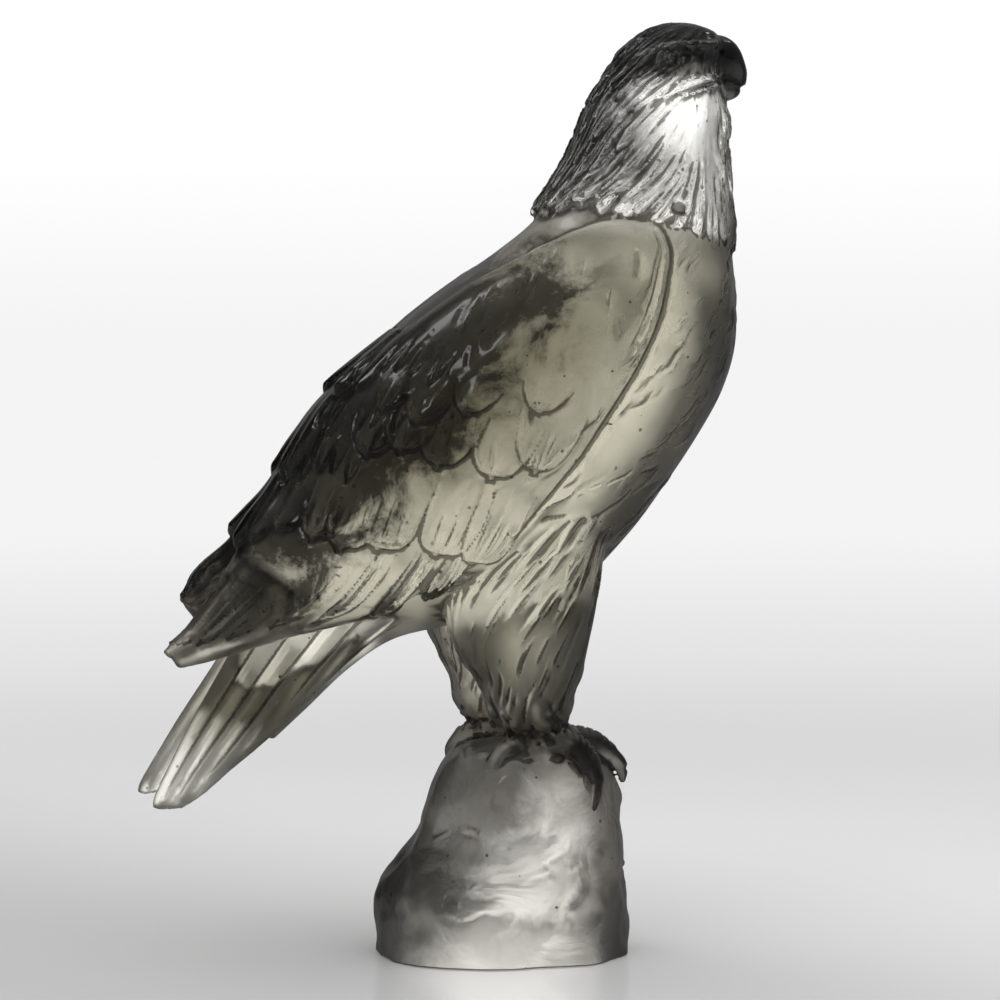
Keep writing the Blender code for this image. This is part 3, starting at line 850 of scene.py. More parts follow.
@dataclass
class Tail:
    """Half of the tail: a flat lobe whose feathers lie side by side and run off its outer edge."""

    side: Side
    # The right half: x, y and z of the inner edge and of the outer one, and half the thickness.
    rows: Rows = (
        (-33.0, -1.0, 22.0, -16.0, -7.0, 18.0, 2.2),
        (-36.2, -1.8, 17.2, -20.9, -8.8, 14.8, 2.0),
        (-40.4, -3.3, 10.4, -27.0, -10.2, 9.8, 1.8),
        (-44.3, -4.9, 4.0, -34.2, -11.4, 3.4, 1.6),
        (-47.4, -6.4, -1.6, -39.6, -11.8, -0.8, 1.4),
        (-49.2, -7.4, -4.9, -43.1, -11.6, -3.9, 1.2),
        (-49.7, -8.4, -6.4, -46.0, -10.6, -6.1, 0.8),
    )
    feathers: int = 5
    # The thickness between the ribs, and what a rib adds to it, as shares of the whole.
    between_ribs: float = 0.93
    rib: float = 0.11
    # Half the width, and the height, of the line at a feather's edge and of the one on its quill.
    edge_line: tuple[float, float] = (0.40, -0.28)
    quill_line: tuple[float, float] = (0.34, 0.08)

    def frame_lines(self, steps: int) -> tuple[np.ndarray, ...]:
        """Finds the inner and outer edges, the half thickness, the breadth and the upward side.

        Args:
            steps: How many places along the lobe they are found at.

        Returns:
            The five of them.
        """
        rows = curve_through(self.rows, np.linspace(0, len(self.rows) - 1, steps))
        inner, outer = rows[:, 0:3], rows[:, 3:6]
        along = np.gradient((inner + outer) / 2, axis=0)
        up = np.cross(outer - inner, along)
        up *= np.sign(up[:, 2:3]) / np.linalg.norm(up, axis=1, keepdims=True)
        return inner, outer, rows[:, 6], np.linalg.norm(outer - inner, axis=1), up

    def lay(self, clay: Clay) -> None:
        """Adds the lobe to the clay.

        Args:
            clay: What the forms are added to.
        """
        inner, outer, thick, breadth, up = self.frame_lines(60)
        angle = np.linspace(0, math.tau, 64, endpoint=False)
        share = 0.5 - 0.5 * np.cos(angle)
        rings = []
        for start, end, width, half, above in zip(inner, outer, breadth, thick, up):
            across = self.feathers * share * (width / breadth.max()) ** 0.5
            share_here = self.between_ribs + self.rib * np.abs(np.sin(math.pi * across))
            height = half * share_here * np.sign(np.sin(angle)) * np.abs(np.sin(angle)) ** 0.7
            ring = start + (end - start) * share[:, None] + above * height[:, None]
            rings.append(ring * (1, -self.side.value, 1))
        clay.loft(rings)

    def engrave(self, graver: Graver) -> None:
        """Engraves the feathers' edges and quills on both faces of the lobe.

        Args:
            graver: What takes the strokes.
        """
        inner, outer, thick, breadth, up = self.frame_lines(24)
        for number in range(1, 2 * self.feathers):
            share = number / (2 * self.feathers) * (breadth.max() / breadth) ** 0.5
            seen = share < 0.96
            if seen.sum() < 5:
                continue
            reach, height = self.quill_line if number % 2 else self.edge_line
            for face in (1, -1):
                line = inner + (outer - inner) * share[:, None] + up * (face * thick * 0.8)[:, None]
                path = (line * (1, -self.side.value, 1))[seen]
                graver.stroke(path, reach, height, taper=0.4)


@dataclass
class Head:
    """The neck rising to the flat crown, with beak, brows and eyes."""

    neck: Rows = (
        (4.2, 70.0, 31.6, 66.6, 11.0, 0.50),
        (5.2, 73.8, 32.2, 70.0, 12.2, 0.50),
        (6.8, 77.0, 32.3, 74.2, 12.0, 0.50),
        (8.6, 80.6, 32.2, 78.0, 11.0, 0.50),
        (10.7, 85.4, 32.0, 82.6, 9.4, 0.50),
        (12.2, 88.8, 32.2, 86.6, 8.3, 0.50),
        (13.9, 91.9, 31.6, 89.0, 7.5, 0.52),
        (15.3, 94.2, 30.6, 91.4, 7.3, 0.54),
        (17.0, 96.4, 30.2, 94.2, 7.0, 0.55),
        (19.8, 98.6, 30.6, 96.8, 5.9, 0.56),
        (22.8, 99.8, 30.2, 98.6, 4.0, 0.56),
        (25.2, 100.1, 27.6, 99.8, 1.2, 0.50),
    )
    # A place and a turn in degrees, then the radii of the eye's globe, the groove round it and
    # the ring round that.
    eye: tuple[float, float] = (7.58, 74.0)
    globe_radius: float = 1.05
    socket_radius: float = 1.28
    eye_ring_radius: float = 1.5
    # The brow and the corner of the mouth: places, turns in degrees and heights off the skin.
    brow: Rows = ((8.1, 44, -0.9), (8.3, 66, -0.1), (8.5, 92, 0.3), (8.8, 120, 0.2), (9.1, 150, 0.0))
    gape: Rows = ((5.5, 80, 0.0), (6.3, 99, 0.2), (6.9, 122, 0.2), (7.0, 140, 0.0))
    # The double lip of the mouth, and how far below it each of its two rims and the groove between
    # them runs, with its height.
    lip: Rows = (
        (21.8, 7.0, 89.8),
        (24.8, 6.4, 91.4),
        (27.9, 4.9, 92.2),
        (30.1, 3.6, 92.4),
        (31.7, 2.9, 92.6),
    )
    lip_rims: Rows = ((0.0, 0.42), (-0.62, -0.48), (-1.25, 0.38))
    # Sections of the beak: x, top z, bottom z, half width.
    upper_beak: Rows = (
        (25.5, 98.0, 92.0, 4.4),
        (28.6, 98.4, 92.3, 3.9),
        (30.8, 98.5, 92.3, 3.1),
        (32.2, 98.2, 92.1, 2.6),
        (33.4, 97.4, 91.7, 2.2),
        (34.2, 96.2, 91.4, 1.6),
        (34.6, 94.8, 91.9, 0.9),
    )
    lower_beak: Rows = (
        (26.5, 92.4, 89.2, 3.0),
        (29.5, 92.6, 89.3, 2.6),
        (31.8, 92.4, 89.3, 2.2),
        (33.2, 91.9, 89.8, 1.5),
        (33.8, 91.3, 90.4, 0.8),
    )
    # The swelling where the beak leaves the forehead: x, z, half width and height.
    cere: tuple[float, float, float, float] = (28.0, 95.2, 4.2, 3.2)
    nostril: tuple[float, float, float] = (30.2, 3.2, 96.0)
    hook: Rows = ((33.2, 0, 94.2), (33.9, 0, 93.0), (34.0, 0, 92.0), (33.8, 0, 91.3))
    crown: Scatter = Scatter(30, (8.9, 10.7), (8, 95), (1.8, 2.8), (0.34, 0.56), (-0.24, 0.24))

    @property
    def form(self) -> Form:
        """The neck and head as one form."""
        return Form(self.neck)

    def lay(self, clay: Clay) -> None:
        """Adds the neck, head and beak to the clay.

        Args:
            clay: What the forms are added to.
        """
        clay.loft(self.form.rings(0, len(self.neck) - 1, 90))
        angle = np.linspace(0, math.tau, 28, endpoint=False)
        for rows, steps in ((self.upper_beak, 26), (self.lower_beak, 16)):
            rings = []
            for x, top, bottom, half in curve_through(rows, np.linspace(0, len(rows) - 1, steps)):
                centre, reach = (top + bottom) / 2, (top - bottom) / 2
                bow = 0.12 * reach * np.cos(angle)
                ring = [x - bow, half * np.sin(angle), centre + reach * np.cos(angle)]
                rings.append(np.stack(ring, axis=-1))
            clay.loft(rings)
        clay.tube(self.hook, (1.5, 1.1, 0.7, 0.3))
        x, z, across, high = self.cere
        arch = [
            (x - 0.5 * abs(math.cos(a)), across * math.cos(a), z + high * math.sin(a))
            for a in np.linspace(-0.5, math.pi + 0.5, 11)
        ]
        clay.tube(arch, (0.30, 0.50, 0.55, 0.50, 0.30), steps=24)
        for side in Side:
            self.lay_face(clay, side)

    def eye_axes(self, side: Side) -> tuple[np.ndarray, ...]:
        """Finds the eye's centre on the skin, and its outward, forward and upward directions.

        Args:
            side: The side of the bird.

        Returns:
            The four of them.
        """
        turn = side.turn(self.eye[1])
        centre, out = self.form.at(self.eye[0], turn), self.form.outward(self.eye[0], turn)
        ahead = np.cross(out, (0.0, 0.0, 1.0)) * -side.value
        ahead /= np.linalg.norm(ahead)
        return centre, out, ahead, np.cross(ahead, out) * side.value

    def eye_ring(
        self, side: Side, radius: float, turns: np.ndarray, squeeze: float = 0.85, rise: float = 0.0
    ) -> list:
        """Finds points round the eye.

        Args:
            side: The side of the bird.
            radius: How far from the eye's centre they lie.
            turns: Radians round it, from straight ahead.
            squeeze: The ring's height as a share of its length.
            rise: How far off the skin they lie.

        Returns:
            The points.
        """
        centre, out, ahead, up = self.eye_axes(side)
        middle = centre + out * rise
        return [middle + radius * (ahead * math.cos(a) + squeeze * up * math.sin(a)) for a in turns]

    def on_face(self, side: Side, rows: Rows) -> list:
        """Finds the points that rows of place, turn in degrees and height give on one side."""
        return [self.form.off(place, side.turn(turn), rise) for place, turn, rise in rows]

    def lay_face(self, clay: Clay, side: Side) -> None:
        """Adds the brow, the eye in its ring, and the corner of the mouth on one side.

        Args:
            clay: What the forms are added to.
            side: The side of the bird.
        """
        clay.tube(self.on_face(side, self.brow), (0.5, 0.8, 0.9, 0.8, 0.4), flat=0.8)
        centre, out, ahead, up = self.eye_axes(side)
        around = np.linspace(0, math.tau, 17)
        ring = self.eye_ring(side, self.eye_ring_radius, around, rise=0.1)
        clay.tube(ring, (0.46, 0.46, 0.46), steps=34, around=10)
        lat = np.linspace(0.05, math.pi - 0.05, 12)[:, None, None]
        lon = around[None, :16, None]
        globe = out * np.cos(lat) + (ahead * np.cos(lon) + up * np.sin(lon)) * np.sin(lat)
        clay.loft(centre - out * 0.15 + self.globe_radius * globe)
        clay.tube(self.on_face(side, self.gape), (0.3, 0.6, 0.6, 0.5, 0.3))

    def engrave(self, graver: Graver) -> None:
        """Engraves folds round the eyes, the lips, the nostrils and strokes over the crown.

        Args:
            graver: What takes the strokes.
        """
        form, t = self.form, np.linspace(0, 1, 8)
        for side in Side:
            socket = self.eye_ring(side, self.socket_radius, np.radians(range(0, 361, 30)))
            graver.stroke(socket, 0.34, -0.34, taper=0)
            for number in range(5):
                sweep = np.radians(np.linspace(165 + 8 * number, 365 - 20 * number, 9))
                fold = self.eye_ring(side, 2.2 + 0.72 * number, sweep, 0.8)
                graver.stroke(fold, 0.34, -0.22 if number % 2 else 0.26)
            for drop, rise in self.lip_rims:
                rim = [(x, y * side.value, z + drop) for x, y, z in self.lip]
                graver.stroke(rim, 0.48, rise, taper=0.6)
            x, y, z = self.nostril
            slit = [(x + shift, y * side.value, z + shift / 2) for shift in (-0.4, 0.4)]
            graver.stroke(slit, 0.5, -0.5)
            self.crown.engrave(
                graver,
                lambda place, turn, length, sign=side.value: form.at(
                    place - length * t, sign * (math.radians(turn) - 0.30 * t)
                ),
            )


@dataclass
class Hackles:
    """Pointed neck feathers in rows, the last row ending in a ragged hanging rim."""

    head: Head
    lift: float
    # A turn in degrees, and the place where the tip hangs.
    rim: Rows = (
        (4, 1.05),
        (20, 1.15),
        (38, 1.40),
        (52, 1.62),
        (66, 1.22),
        (78, 1.28),
        (90, 1.06),
        (99, 0.84),
        (108, 1.08),
        (116, 0.72),
        (128, 0.46),
        (140, 0.80),
        (153, 0.55),
        (167, 0.68),
        (178, 0.58),
    )
    # Loose locks between the feathers of the rim, on each side.
    locks: int = 26
    strokes: Scatter = Scatter(
        330, (0.8, 7.4), (4, 176), (0.8, 2.2), (0.36, 0.62), (-0.40, -0.26, 0.34)
    )
    # The round pit above the rim on the right side: a place, a turn in degrees and its reach.
    pit: tuple[float, float, float] = (1.71, 101.0, 1.5)

    @staticmethod
    def sweep(turn: float) -> float:
        """Says how many degrees round the neck a feather leans back on each step of its length."""
        return 13 * math.sin(math.pi * min(turn, 118) / 118)

    @staticmethod
    def on_throat(place: float, turn: float) -> float:
        """Says how far a spot lies on the smooth throat, from 0 to 1."""
        return float(ease(turn, 70, 84) * (1 - ease(turn, 132, 146)) * ease(place, 1.5, 2.5))

    def feathers(self, side: Side) -> list[Feather]:
        """Lists the neck's feathers on one side, the hanging rim first.

        Args:
            side: The side of the bird.

        Returns:
            The feathers.
        """
        form = self.head.form
        made = []
        for turn, place in self.rim:
            root = (place + 2.0, turn + 2.0 * self.sweep(turn))
            lift = 0.62 * self.lift
            made.append(Feather(form, side, root, (place, turn), 1.7, lift, sink=2.0, point=0.75))
        for row in range(5):
            count = 9 - row
            for number in range(count):
                turn = 10 + 160 * (number + 0.5 * (row % 2)) / count
                place = 1.9 + 0.8 * row + 0.25 * math.sin(5.1 * number + row)
                if self.on_throat(place + 0.3, turn) > 0.4:
                    continue
                root = (place + 1.5, turn + 1.5 * self.sweep(turn))
                lift = self.lift * (0.14 if turn < 30 else 0.34)
                made.append(Feather(form, side, root, (place, turn), 1.35, lift, point=0.8))
        return made

    def hanging(
        self, side: Side, tip: float, turn: float, length: float, t: np.ndarray, rise: np.ndarray
    ) -> np.ndarray:
        """Finds a line that hangs down the neck and leans as its feathers do.

        Args:
            side: The side of the bird.
            tip: The place where it ends.
            turn: The turn where it ends, in degrees.
            length: How far it runs.
            t: Shares of its length.
            rise: Its height off the neck at each of them.

        Returns:
            Points along the line.
        """
        lean = self.sweep(turn) * length * (1 - t)
        return self.head.form.off(tip + length * (1 - t), side.turn(turn + lean), rise)

    def lay(self, clay: Clay) -> None:
        """Adds the feathers and the loose locks of both sides to the clay.

        Args:
            clay: What the forms are added to.
        """
        t = np.linspace(0, 1, 5)
        for side in Side:
            for feather in self.feathers(side):
                feather.lay(clay)
            for number in range(self.locks):
                turn = 6 + 170 * (number + 0.4 * math.sin(9.1 * number)) / self.locks
                low = float(np.interp(turn, *zip(*self.rim))) - 0.12 + 0.16 * math.sin(5.3 * number)
                length = 1.1 + 0.5 * math.sin(3.7 * number)
                path = self.hanging(side, low, turn, length, t, self.lift * (0.25 + 0.32 * t))
                clay.tube(path, (0.25, 0.45, 0.52, 0.34), steps=10, around=8)

    def engrave(self, graver: Graver) -> None:
        """Engraves the pit, the feathers, and slender strokes down the neck, faint on the throat.

        Args:
            graver: What takes the strokes.
        """
        loose, draw = self.strokes, graver.draw
        place, turn, reach = self.pit
        spot = self.head.form.off(place, -np.radians([turn, turn + 1.5]), np.full(2, 0.4))
        graver.stroke(spot, reach, -1.5, taper=0)
        t = np.linspace(0, 1, 7)
        for side in Side:
            for feather in self.feathers(side):
                feather.engrave(graver, 0.34, 0.16, 0.20)
            for _ in range(loose.count):
                tip, turn = draw.uniform(*loose.places), draw.uniform(*loose.turns)
                path = self.hanging(side, tip, turn, draw.uniform(*loose.lengths), t, 0.25 * t)
                depth = draw.choice(loose.heights) * (1 - 0.7 * self.on_throat(tip, turn))
                graver.stroke(path, draw.uniform(*loose.reaches), depth)


@dataclass
class Leg:
    """Feathered thigh, shank, and a foot gripping the rock."""

    side: Side
    # The thigh: height, rear x, front x, middle y, half width.
    thigh: Rows = (
        (41.0, 2.0, 9.0, 4.0, 2.5),
        (36.5, -2.5, 12.2, 5.2, 5.4),
        (32.0, -5.5, 13.2, 6.0, 6.9),
        (28.0, -7.4, 13.0, 6.8, 7.3),
        (24.5, -8.8, 12.4, 7.4, 7.5),
        (21.5, -9.5, 11.7, 7.8, 7.8),
        (18.5, -9.5, 11.1, 8.1, 7.8),
        (15.6, -8.8, 10.4, 8.4, 7.5),
        (12.3, -7.0, 9.7, 8.4, 6.8),
        (10.2, -5.4, 9.1, 8.4, 6.2),
        (8.2, -4.6, 8.4, 8.4, 5.5),
        (5.4, -3.2, 7.6, 8.4, 4.7),
        (3.4, -2.0, 7.1, 8.4, 4.2),
    )
    # Rows of loose feathers: top, low end and count.
    feather_rows: Rows = ((14.5, 7.2, 7), (11.2, 4.6, 7), (8.4, 2.8, 8))
    slashes: Scatter = Scatter(210, (6.0, 36.0), CIRCLE, (3.0, 9.0), (0.36, 0.7), (-0.36, -0.22, 0.26))
    crumbs: Scatter = Scatter(46, (1.5, 6.0), CIRCLE, (0, 1), (0.45, 0.9), (-0.5, 0.5))
    # The shank: x and z down it, and its y.
    shank: Rows = ((2.4, 6.0), (2.6, 2.8), (3.4, -1.2))
    shank_middle: float = 8.4
    # How far each foot is set forward of the right one.
    set_forward: dict = field(default_factory=lambda: {Side.LEFT: -2.0, Side.RIGHT: 0.0})
    # Each toe from the ankle to its knuckle, then its claw: middle, outer, inner and hind toe.
    toes: tuple = (
        (
            ((3.0, 8.2, 0.6), (7.0, 7.6, 1.6), (11.0, 6.6, 1.0), (14.0, 6.0, -1.0)),
            ((13.6, 6.0, -0.6), (15.6, 5.8, -2.6), (15.8, 5.7, -5.0)),
        ),
        (
            ((3.0, 8.6, 0.6), (6.0, 10.4, 1.4), (8.4, 12.2, 0.4), (9.8, 13.2, -2.0)),
            ((9.6, 13.1, -1.6), (10.2, 14.4, -4.0), (9.6, 14.6, -7.6)),
        ),
        (
            ((3.0, 7.6, 0.6), (7.0, 5.0, 1.4), (10.6, 2.6, 0.6), (12.2, 1.6, -1.0)),
            ((12.0, 1.7, -0.6), (13.8, 1.0, -2.4), (14.2, 0.8, -4.6)),
        ),
        (
            ((3.0, 8.6, 0.6), (0.0, 9.2, 0.9), (-2.0, 9.6, 0.0)),
            ((-1.8, 9.6, 0.2), (-3.2, 10.0, -1.6), (-3.4, 10.1, -3.6)),
        ),
    )

    def around(self, z: float, angle: Number, sink: float = 0.0) -> np.ndarray:
        """Finds points round the thigh at a height, sunk a little under its skin.

        Args:
            z: The height.
            angle: Radians round the thigh.
            sink: How deep they lie.

        Returns:
            The points, with x, y and z last.
        """
        heights = [-row[0] for row in self.thigh]
        place = np.interp(-z, heights, range(len(heights)))
        _, rear, front, middle, half = curve_through(self.thigh, place)
        forward = self.set_forward[self.side] * np.clip((14.0 - z) / 12.0, 0, 1)
        x = (rear + front) / 2 + forward - ((front - rear) / 2 - sink) * np.cos(angle)
        y = self.side.value * (middle + (half - sink) * np.sin(angle))
        return np.stack([x, y, np.full_like(x, z)], axis=-1)

    def stepped(self, points: Points) -> list:
        """Puts points of the right foot where this leg stands."""
        ahead = self.set_forward[self.side]
        return [(x + ahead, y * self.side.value, z) for x, y, z in points]

    def lay(self, clay: Clay) -> None:
        """Adds the thigh, its loose feathers, the shank and the foot to the clay.

        Args:
            clay: What the forms are added to.
        """
        angle = np.linspace(0, math.tau, 40, endpoint=False)
        top, low = self.thigh[0][0], self.thigh[-1][0]
        clay.loft([self.around(z, angle) for z in np.linspace(top, low, 44)])
        clay.tube(self.stepped([(x, self.shank_middle, z) for x, z in self.shank]), (3.3, 3.2, 3.6))
        for toe, claw in self.toes:
            clay.tube(self.stepped(toe), (2.3, 2.0, 1.8, 1.5))
            clay.tube(self.stepped(claw), (1.3, 1.0, 0.35), steps=12)
        for row, (top, low, count) in enumerate(self.feather_rows):
            sink = 0.8 if row == len(self.feather_rows) - 1 else 1.1
            for number in range(int(count)):
                turn = math.tau * (number + 0.5 * (row % 2)) / count
                path = [
                    self.around(z, turn + 0.25 * (top - z) / (top - low), sink)
                    for z in np.linspace(top, low, 5)
                ]
                clay.tube(path, (0.8, 1.35, 1.2, 0.45), steps=12, around=10)

    def engrave(self, graver: Graver) -> None:
        """Engraves slanting strokes down the thigh, crumbs low on it and scales on the toes.

        Args:
            graver: What takes the strokes.
        """
        self.slashes.engrave(
            graver,
            lambda top, angle, length: [
                self.around(z, angle - 0.07 * math.sin(angle) * (top - z), 0.1)
                for z in np.linspace(top, max(top - length, 2.6), 7)
            ],
        )
        self.crumbs.engrave(
            graver,
            lambda z, angle, length: [
                self.around(z, angle, 0.2), self.around(z - length, angle + 0.1, 0.2)
            ],
        )
        for toe, _claw in self.toes:
            for t in np.linspace(0.25, 0.95, 7):
                x, y, z = curve_through(toe, t * (len(toe) - 1))
                scale = [(x, y + 1.6 * v, z + 1.9 - abs(v)) for v in (-1, -0.5, 0, 0.5, 1)]
                graver.stroke(self.stepped(scale), 0.30, -0.30)


@dataclass
class Rock:
    """A worked rock: a steep face under the toes and a shoulder sloping down behind."""

    unit: float
    height: float = 0.0623
    length: float = 0.0765
    breadth: float = 0.0680
    roughness: float = 0.0016
    # Share of the height, rear x and front x as shares of half the length, half width as a
    # share of half the breadth.
    rows: Rows = (
        (-0.06, -0.96, 0.97, 0.96),
        (0.04, -0.98, 0.99, 0.99),
        (0.20, -0.98, 0.98, 1.00),
        (0.34, -0.93, 0.97, 0.98),
        (0.46, -0.80, 0.95, 0.94),
        (0.60, -0.65, 0.94, 0.89),
        (0.74, -0.56, 0.92, 0.86),
        (0.86, -0.50, 0.88, 0.84),
        (0.94, -0.43, 0.80, 0.78),
        (1.00, -0.32, 0.66, 0.64),
        (1.03, -0.10, 0.40, 0.30),
    )
    # How square it is seen from above: 1 for round, less for squarer.
    squareness: float = 0.86
    # The noise that roughens it, as scales and shares: soft waves, then sharp ridges.
    waves: Rows = ((55.0, 1.0), (120.0, 0.5))
    ridges: Rows = ((85.0, 0.55), (170.0, 0.28))
    dents: Scatter = Scatter(12, (1.0, 8.8), CIRCLE, (-1.2, 1.2), (2.5, 4.5), (-0.6, -0.4, 0.5))
    # A ledge has the first reach and the groove below it the second, and its height is anything
    # between the two heights.
    ledges: Scatter = Scatter(18, (2.0, 8.6), CIRCLE, (-1.0, 1.0), (0.5, 0.7), (0.12, 0.26))
    crumbs: Scatter = Scatter(40, (8.3, 9.9), CIRCLE, (), (0.6, 1.2), (-0.5, 0.4))
    # The groove under a claw, the leaf-shaped hollow low in front and two broad faces: the place,
    # angle, swing and drop of each, with angles in degrees, then its reach and height.
    marks: Rows = (
        (8.4, -62.0, 2.0, 2.2, 1.1, -0.6),
        (3.8, -66.0, -8.0, 2.0, 1.6, -0.4),
        (6.0, -120.0, 30.0, 0.8, 4.0, -0.7),
        (3.5, -150.0, 25.0, 0.3, 4.5, -0.6),
    )

    def ring(self, row: Sequence[float], angle: np.ndarray) -> np.ndarray:
        """Finds points round the rock at one level.

        Args:
            row: A row as in rows.
            angle: Radians round the rock.

        Returns:
            The points, in the bird's hundredths.
        """
        level, rear, front, breadth = row
        cos, sin = np.cos(angle), np.sin(angle)
        squared = np.sign(cos) * np.abs(cos) ** self.squareness
        x = ((front + rear) / 2 + (front - rear) / 2 * squared) * self.length / 2
        y = breadth * np.sign(sin) * np.abs(sin) ** self.squareness * self.breadth / 2
        ring = np.stack([x, y, np.full_like(x, level * self.height)], axis=-1)
        for number, point in enumerate(ring):
            point = Vector(point)
            worked = sum(share * noise.noise(point * scale) for scale, share in self.waves)
            for scale, share in self.ridges:
                worked += share * (0.35 - abs(noise.noise(point * scale + Vector((3, 7, 1)))))
            ring[number] = point + Vector((cos[number], sin[number], 0)) * worked * self.roughness
        return (ring - (0, 0, self.height)) / self.unit

    def lay(self, clay: Clay) -> None:
        """Adds the rock to the clay.

        Args:
            clay: What the forms are added to.
        """
        rows = curve_through(self.rows, np.linspace(0, len(self.rows) - 1, 100))
        angle = np.linspace(0, math.tau, 240, endpoint=False)
        clay.loft([self.ring(row, angle) for row in rows])

    def engrave(self, graver: Graver) -> None:
        """Engraves dents, ledges and crumbs, and the marks that the photograph shows.

        Args:
            graver: What takes the strokes.
        """
        self.dents.engrave(graver, lambda place, angle, drop: self.line(place, angle, 0.25, drop), 0.8)
        loose, draw = self.ledges, graver.draw
        above, below = loose.reaches
        for _ in range(loose.count):
            start, angle = draw.uniform(*loose.places), draw.uniform(*loose.turns)
            line = self.line(start, angle, draw.uniform(0.10, 0.45), draw.uniform(*loose.lengths))
            height = draw.uniform(*loose.heights)
            graver.stroke(line, above, height)
            graver.stroke(line - (0, 0, below), below, -height)
        self.crumbs.engrave(graver, lambda place, angle, _: self.line(place, angle, 0.06, 0.1))
        for place, angle, swing, drop, reach, height in self.marks:
            line = self.line(place, math.radians(angle), math.radians(swing), drop)
            graver.stroke(line, reach, height, taper=0.8)

    def line(self, place: float, angle: float, swing: float, drop: float) -> np.ndarray:
        """Finds a line over the rock.

        Args:
            place: Where along the rows it starts.
            angle: Where round the rock it starts.
            swing: How far round it runs.
            drop: How far down the rows it runs.

        Returns:
            Points along the line, in the bird's hundredths.
        """
        path = []
        for share in np.linspace(0, 1, 7):
            row = curve_through(self.rows, place - drop * share)
            turned = np.array([angle + swing * share + 0.05 * math.sin(9 * share + angle)])
            path.append(self.ring(row, turned)[0])
        return np.array(path)


@dataclass
class Casting:
    """The whole casting: every form pressed into one skin, engraved and thinned."""

    wing_thickness: float = 0.0024
    feather_lift: float = 0.0017
    hackle_lift: float = 0.0026
    voxel: float = 0.00065
    most_triangles: int = 196_000
    seed: int = 7
    # Places in the bird's hundredths where one form is smoothed into the next, each with its
    # reach and its strength: thighs and belly, the fork of the legs, forehead and beak.
    joins: tuple = (
        ((8.0, -10.0, 34.0), 13.0, 1.0),
        ((8.0, 10.0, 34.0), 13.0, 1.0),
        ((0.0, -13.0, 30.0), 11.0, 1.0),
        ((0.0, 13.0, 30.0), 11.0, 1.0),
        ((1.0, 0.0, 20.0), 9.0, 0.6),
        ((30.6, -2.4, 94.4), 4.4, 0.30),
        ((30.6, 2.4, 94.4), 4.4, 0.30),
    )
    join_passes: int = 110
    # How far off the skin a stroke may lie and still mark it.
    graver_lift: float = 0.0022
    # How many times the skin is relaxed to find the one around a point, and the height over it
    # that is written as 1: for the relief, and for thin crests.
    relief_passes: int = 14
    relief_depth: float = 0.00030
    crest_passes: int = 3
    crest_depth: float = 0.00008

    def build(self, top: float) -> bpy.types.Object:
        """Makes the casting.

        Args:
            top: The height of the crown.

        Returns:
            The casting's object, at the origin, in metres.
        """
        unit = (top - Rock.height) / 100
        trunk, head, rock = Trunk(), Head(), Rock(unit)
        hackles = Hackles(head, self.hackle_lift / unit)
        thickness, lift = self.wing_thickness / unit, self.feather_lift / unit
        wings = [Wing(side, trunk, thickness, lift) for side in Side]
        tails, legs = [Tail(side) for side in Side], [Leg(side) for side in Side]
        clay, graver = Clay(), Graver(np.random.default_rng(self.seed))
        for form in (trunk, head, hackles, *wings, *tails, *legs, rock):
            form.lay(clay)
        for form in (trunk, head, hackles, *wings, *legs, rock, *tails):
            form.engrave(graver)
        mesh = self.press(clay.mesh(NODE + "_clay", unit, rock.height))
        skin = Skin(mesh)
        soles = (0, 0, rock.height)
        joins = [(np.array(spot) * unit + soles, reach * unit, share) for spot, reach, share in self.joins]
        skin.blend(joins, self.join_passes)
        graver.carve(mesh, unit, rock.height, self.graver_lift)
        skin.write_relief(RELIEF, self.relief_passes, self.relief_depth)
        skin.write_relief(CREST, self.crest_passes, self.crest_depth)
        LOG.info("skin of %d faces, engraved with %d strokes", len(mesh.polygons), len(graver.points))
        return self.finish(mesh)

    def press(self, clay: bpy.types.Mesh) -> bpy.types.Mesh:
        """Presses the clay into one even skin.

        Args:
            clay: The closed forms, overlapping.

        Returns:
            One closed mesh, in small even faces.
        """
        holder = placed("clay", clay)
        skin = holder.modifiers.new("one skin", "REMESH")
        skin.mode = "VOXEL"
        skin.voxel_size = self.voxel
        soften = holder.modifiers.new("soften", "SMOOTH")
        soften.factor = 0.5
        soften.iterations = 3
        return as_mesh(holder)

    def finish(self, mesh: bpy.types.Mesh) -> bpy.types.Object:
        """Thins the skin where it is smooth, and grinds the underside flat.

        Args:
            mesh: The engraved skin.

        Returns:
            The finished object.
        """
        holder = placed("skin", mesh)
        thin = holder.modifiers.new("thin out", "DECIMATE")
        thin.ratio = min(1.0, self.most_triangles / (2 * len(mesh.polygons)))
        thinned = as_mesh(holder)
        work = bmesh.new()
        work.from_mesh(thinned)
        everything = work.verts[:] + work.edges[:] + work.faces[:]
        bmesh.ops.bisect_plane(
            work, geom=everything, plane_co=(0, 0, 0), plane_no=(0, 0, -1), clear_outer=True
        )
        open_edges = [edge for edge in work.edges if edge.is_boundary]
        bmesh.ops.contextual_create(work, geom=open_edges)
        bmesh.ops.recalc_face_normals(work, faces=work.faces)
        for face in work.faces:
            face.smooth = len(face.verts) <= 4
        for edge in open_edges:
            if edge.is_valid:
                edge.smooth = False
        work.to_mesh(thinned)
        work.free()
        thinned.name = CASTING_NAME
        thinned.materials.clear()
        return placed(CASTING_NAME, thinned)


